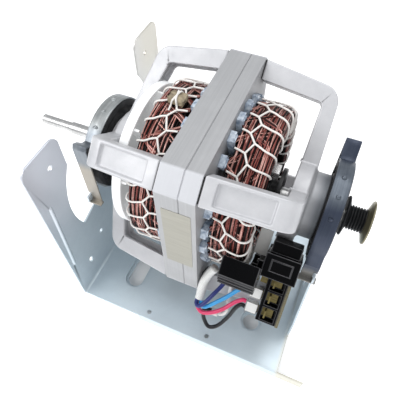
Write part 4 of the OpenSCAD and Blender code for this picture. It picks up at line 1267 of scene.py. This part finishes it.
@dataclass
class StartSwitch:
    """Switch, lever and terminal block on the pulley end's frame. Sizes in mm."""

    body_edge: float = 0.6
    body_segments: int = 3
    on_body: tuple[Dress, ...] = (
        ("switch_screws", BRIGHT, 0.3), ("switch_lever", LEVER, 0.4), ("lever_pin", BRIGHT, 0.2))
    block_edge: float = 0.5
    on_block: tuple[Dress, ...] = (("terminal_tabs", BRASS, 0.15), ("terminal_board", BOARD, 0.3))

    def build(self) -> None:
        """Dresses the switch."""
        carried("switch_body", SWITCH, self.body_edge, self.body_segments, edges=SWITCH_EDGE_HIGHLIGHT)
        carry(self.on_body)
        carried("terminal_block", SWITCH, self.block_edge, edges=SWITCH_EDGE_HIGHLIGHT)
        carry(self.on_block)


@dataclass
class Leads:
    """Insulated leads, their sleeve, connectors and splice. Sizes in mm, in the switch's frame."""

    lead_r: float = 1.6
    sleeve_r: float = 3.5
    fineness: int = 4
    steps: int = 12
    flag_edge: float = 0.4
    splice_edge: float = 0.6
    routes: dict[str, list[RGB]] = field(default_factory=lambda: {
        "sleeve": [(24, 64.5, 21), (21, 70, 18.5), (18.5, 78, 16.5), (18, 86, 15.5),
                   (18.4, 90.5, 15.5), (18.4, 94, 15.5)],
        "blue": [(53, 72.5, 15.2), (50, 72.5, 15.2), (45, 76, 15.8), (38, 84.5, 17),
                 (31, 92, 17.5), (25.5, 97.5, 17.2), (21.8, 98.7, 16), (20.4, 97, 15.5),
                 (20.4, 94.3, 15.5)],
        "red": [(53, 82.4, 15.2), (50, 82.4, 15.2), (45, 86.5, 15.6), (38, 95, 16),
                (31, 101, 15.5), (24, 104.5, 14.2), (19.2, 102.5, 13.7), (17.4, 98, 13.8),
                (17.4, 94.3, 13.8)],
        "black": [(53, 86.5, 15.2), (50, 86.5, 15.2), (46.5, 92, 13), (43, 103, 8), (37, 115, 4),
                  (30.5, 119.5, 3), (25.5, 115, 4), (23, 107.5, 7), (24.5, 103.4, 9),
                  (27, 102.5, 9.5), (29.5, 102.5, 9.5)],
        "navy": [(34.5, 67.52, 12), (34.5, 70.79, 12), (32, 78.15, 14.5), (28, 86.05, 18.5),
                 (23.5, 94.5, 20.8), (19.8, 98.2, 20), (17.4, 97.2, 17.6), (17.4, 94.3, 17.3)],
        "tail": [(35.4, 102.5, 9.5), (37.2, 102.2, 9.6), (39.2, 100.6, 9.9), (40.4, 97.8, 10.5),
                 (40.4, 93.4, 11.2), (39.6, 86.6, 11.6), (38.8, 79.54, 11.6), (38.4, 73, 11.6),
                 (38.4, 67.25, 11.6)]})

    def build(self) -> None:
        """Lays the leads and dresses their ends."""
        finishes = {"blue": BLUE, "red": RED, "black": DARK_LEAD, "navy": NAVY, "sleeve": SLEEVE,
                    "tail": SLEEVE}
        for name, finish in finishes.items():
            route = smooth_route([by_switch(*knot) for knot in self.routes[name]], self.steps)
            node = "lead_" + name
            radius = self.sleeve_r if name == "sleeve" else self.lead_r
            run = strands(node + "_run", [(route, 0)], radius, self.fineness, (finish,))
            settle(run, "stator", finish.slot, node)
        carried("flag_terminals", WHITE, self.flag_edge, edges=FLAG_EDGE)
        carried("crimp_splice", WHITE, self.splice_edge)


@dataclass(frozen=True)
class Lamp:
    """A soft square lamp, which shiny faces mirror or not. Lengths in metres, power in watts."""

    name: str
    place: RGB
    side: float
    power: float
    mirrored: bool = True

    def hang(self, aim: RGB) -> None:
        """Hangs the lamp.

        Args:
            aim: Where it points, in metres.
        """
        light = bpy.data.lights.new(self.name, "AREA")
        light.size = self.side
        light.energy = self.power
        obj = bpy.data.objects.new(self.name, light)
        obj.location = self.place
        obj.visible_glossy = self.mirrored
        toward = Vector(aim) - Vector(self.place)
        obj.rotation_euler = toward.to_track_quat("-Z", "Y").to_euler()
        bpy.context.scene.collection.objects.link(obj)


@dataclass
class Studio:
    """Floor, light and camera. Places in metres, the camera's turn in degrees, its lens in mm."""

    floor_size: float = 4.0
    floor_dark: RGB = (0.93, 0.93, 0.93)
    floor_light: RGB = (0.96, 0.96, 0.96)
    floor_roughness: float = 0.9
    cloud: float = 300.0
    cloud_detail: float = 2.0
    glow: float = 0.45
    glow_x_squared: Span = (0.0072, 0.0094)
    glow_y_squared: Span = (0.0064, 0.0085)
    sky: tuple[float, float, float, float] = (0.95, 0.97, 1.0, 1.0)
    sky_strength: float = 0.50
    aim: RGB = (0.0, 0.0, 0.1)
    lamps: tuple[Lamp, ...] = (
        Lamp("key_lamp", (-0.60, -0.50, 0.80), 0.6, 5.0),
        Lamp("fill_lamp", (0.75, -0.75, 0.30), 0.5, 0.8),
        Lamp("top_lamp", (0.15, 0.25, 1.05), 0.8, 4.2),
        Lamp("front_lamp", (0.20, -0.75, 0.70), 0.5, 2.0, mirrored=False))
    camera_place: RGB = (0.089254, -0.190043, 0.375691)
    camera_turn: RGB = (35.394, 0.274, 22.907)
    lens: float = 37.197
    sensor: float = 36.0
    nearest: float = 0.01

    def lay_floor(self) -> None:
        """Lays the pale floor, which gives light past the edge of the bracket."""
        bpy.ops.object.select_all(action="DESELECT")
        bpy.ops.mesh.primitive_plane_add(size=self.floor_size)
        floor = bpy.context.object
        floor.name = "studio_floor"
        shader = Shader("studio_white")
        surface = shader.surface.inputs
        cloud = shader.noise(self.cloud, self.cloud_detail)
        shader.plug(surface["Base Color"], shader.mix(cloud, self.floor_dark, self.floor_light))
        surface["Roughness"].default_value = self.floor_roughness
        x, y = shader.axis("X") - MID_X, shader.axis("Y")
        past = (x.squared().between(*self.glow_x_squared)
                + y.squared().between(*self.glow_y_squared))
        shader.plug(surface["Emission Color"],
                    shader.mix(past.between(0.0, 1.0), (0.0, 0.0, 0.0), (1.0, 1.0, 1.0)))
        surface["Emission Strength"].default_value = self.glow
        floor.data.materials.append(shader.material)

    def light(self) -> None:
        """Sets the sky and hangs the lamps."""
        world = bpy.data.worlds.new("studio_sky")
        world.use_nodes = True
        sky = world.node_tree.nodes["Background"].inputs
        sky["Color"].default_value = self.sky
        sky["Strength"].default_value = self.sky_strength
        bpy.context.scene.world = world
        bpy.context.scene.view_settings.view_transform = "Standard"
        for lamp in self.lamps:
            lamp.hang(self.aim)

    def set_camera(self) -> None:
        """Sets the camera where the photograph was taken from."""
        camera = bpy.data.objects.new("photo_camera", bpy.data.cameras.new("photo_camera"))
        camera.data.lens = self.lens
        camera.data.sensor_width = self.sensor
        camera.data.clip_start = self.nearest
        camera.location = self.camera_place
        camera.rotation_euler = Euler([math.radians(a) for a in self.camera_turn])
        bpy.context.scene.collection.objects.link(camera)
        bpy.context.scene.camera = camera

    def build(self) -> None:
        """Lays the floor, hangs the lamps and sets the camera."""
        self.lay_floor()
        self.light()
        self.set_camera()


def main() -> None:
    """Builds the motor's sub-assemblies in order, then the studio."""
    logging.basicConfig(level=logging.INFO, format="%(name)s: %(message)s")
    parts = (Cradle(), Stator(), EndWindings(), Rotor(), Governor(), StartSwitch(), Leads(),
             Studio())
    for part in parts:
        part.build()
        LOG.info("%s is built", type(part).__name__)


if __name__ == "__main__":
    main()
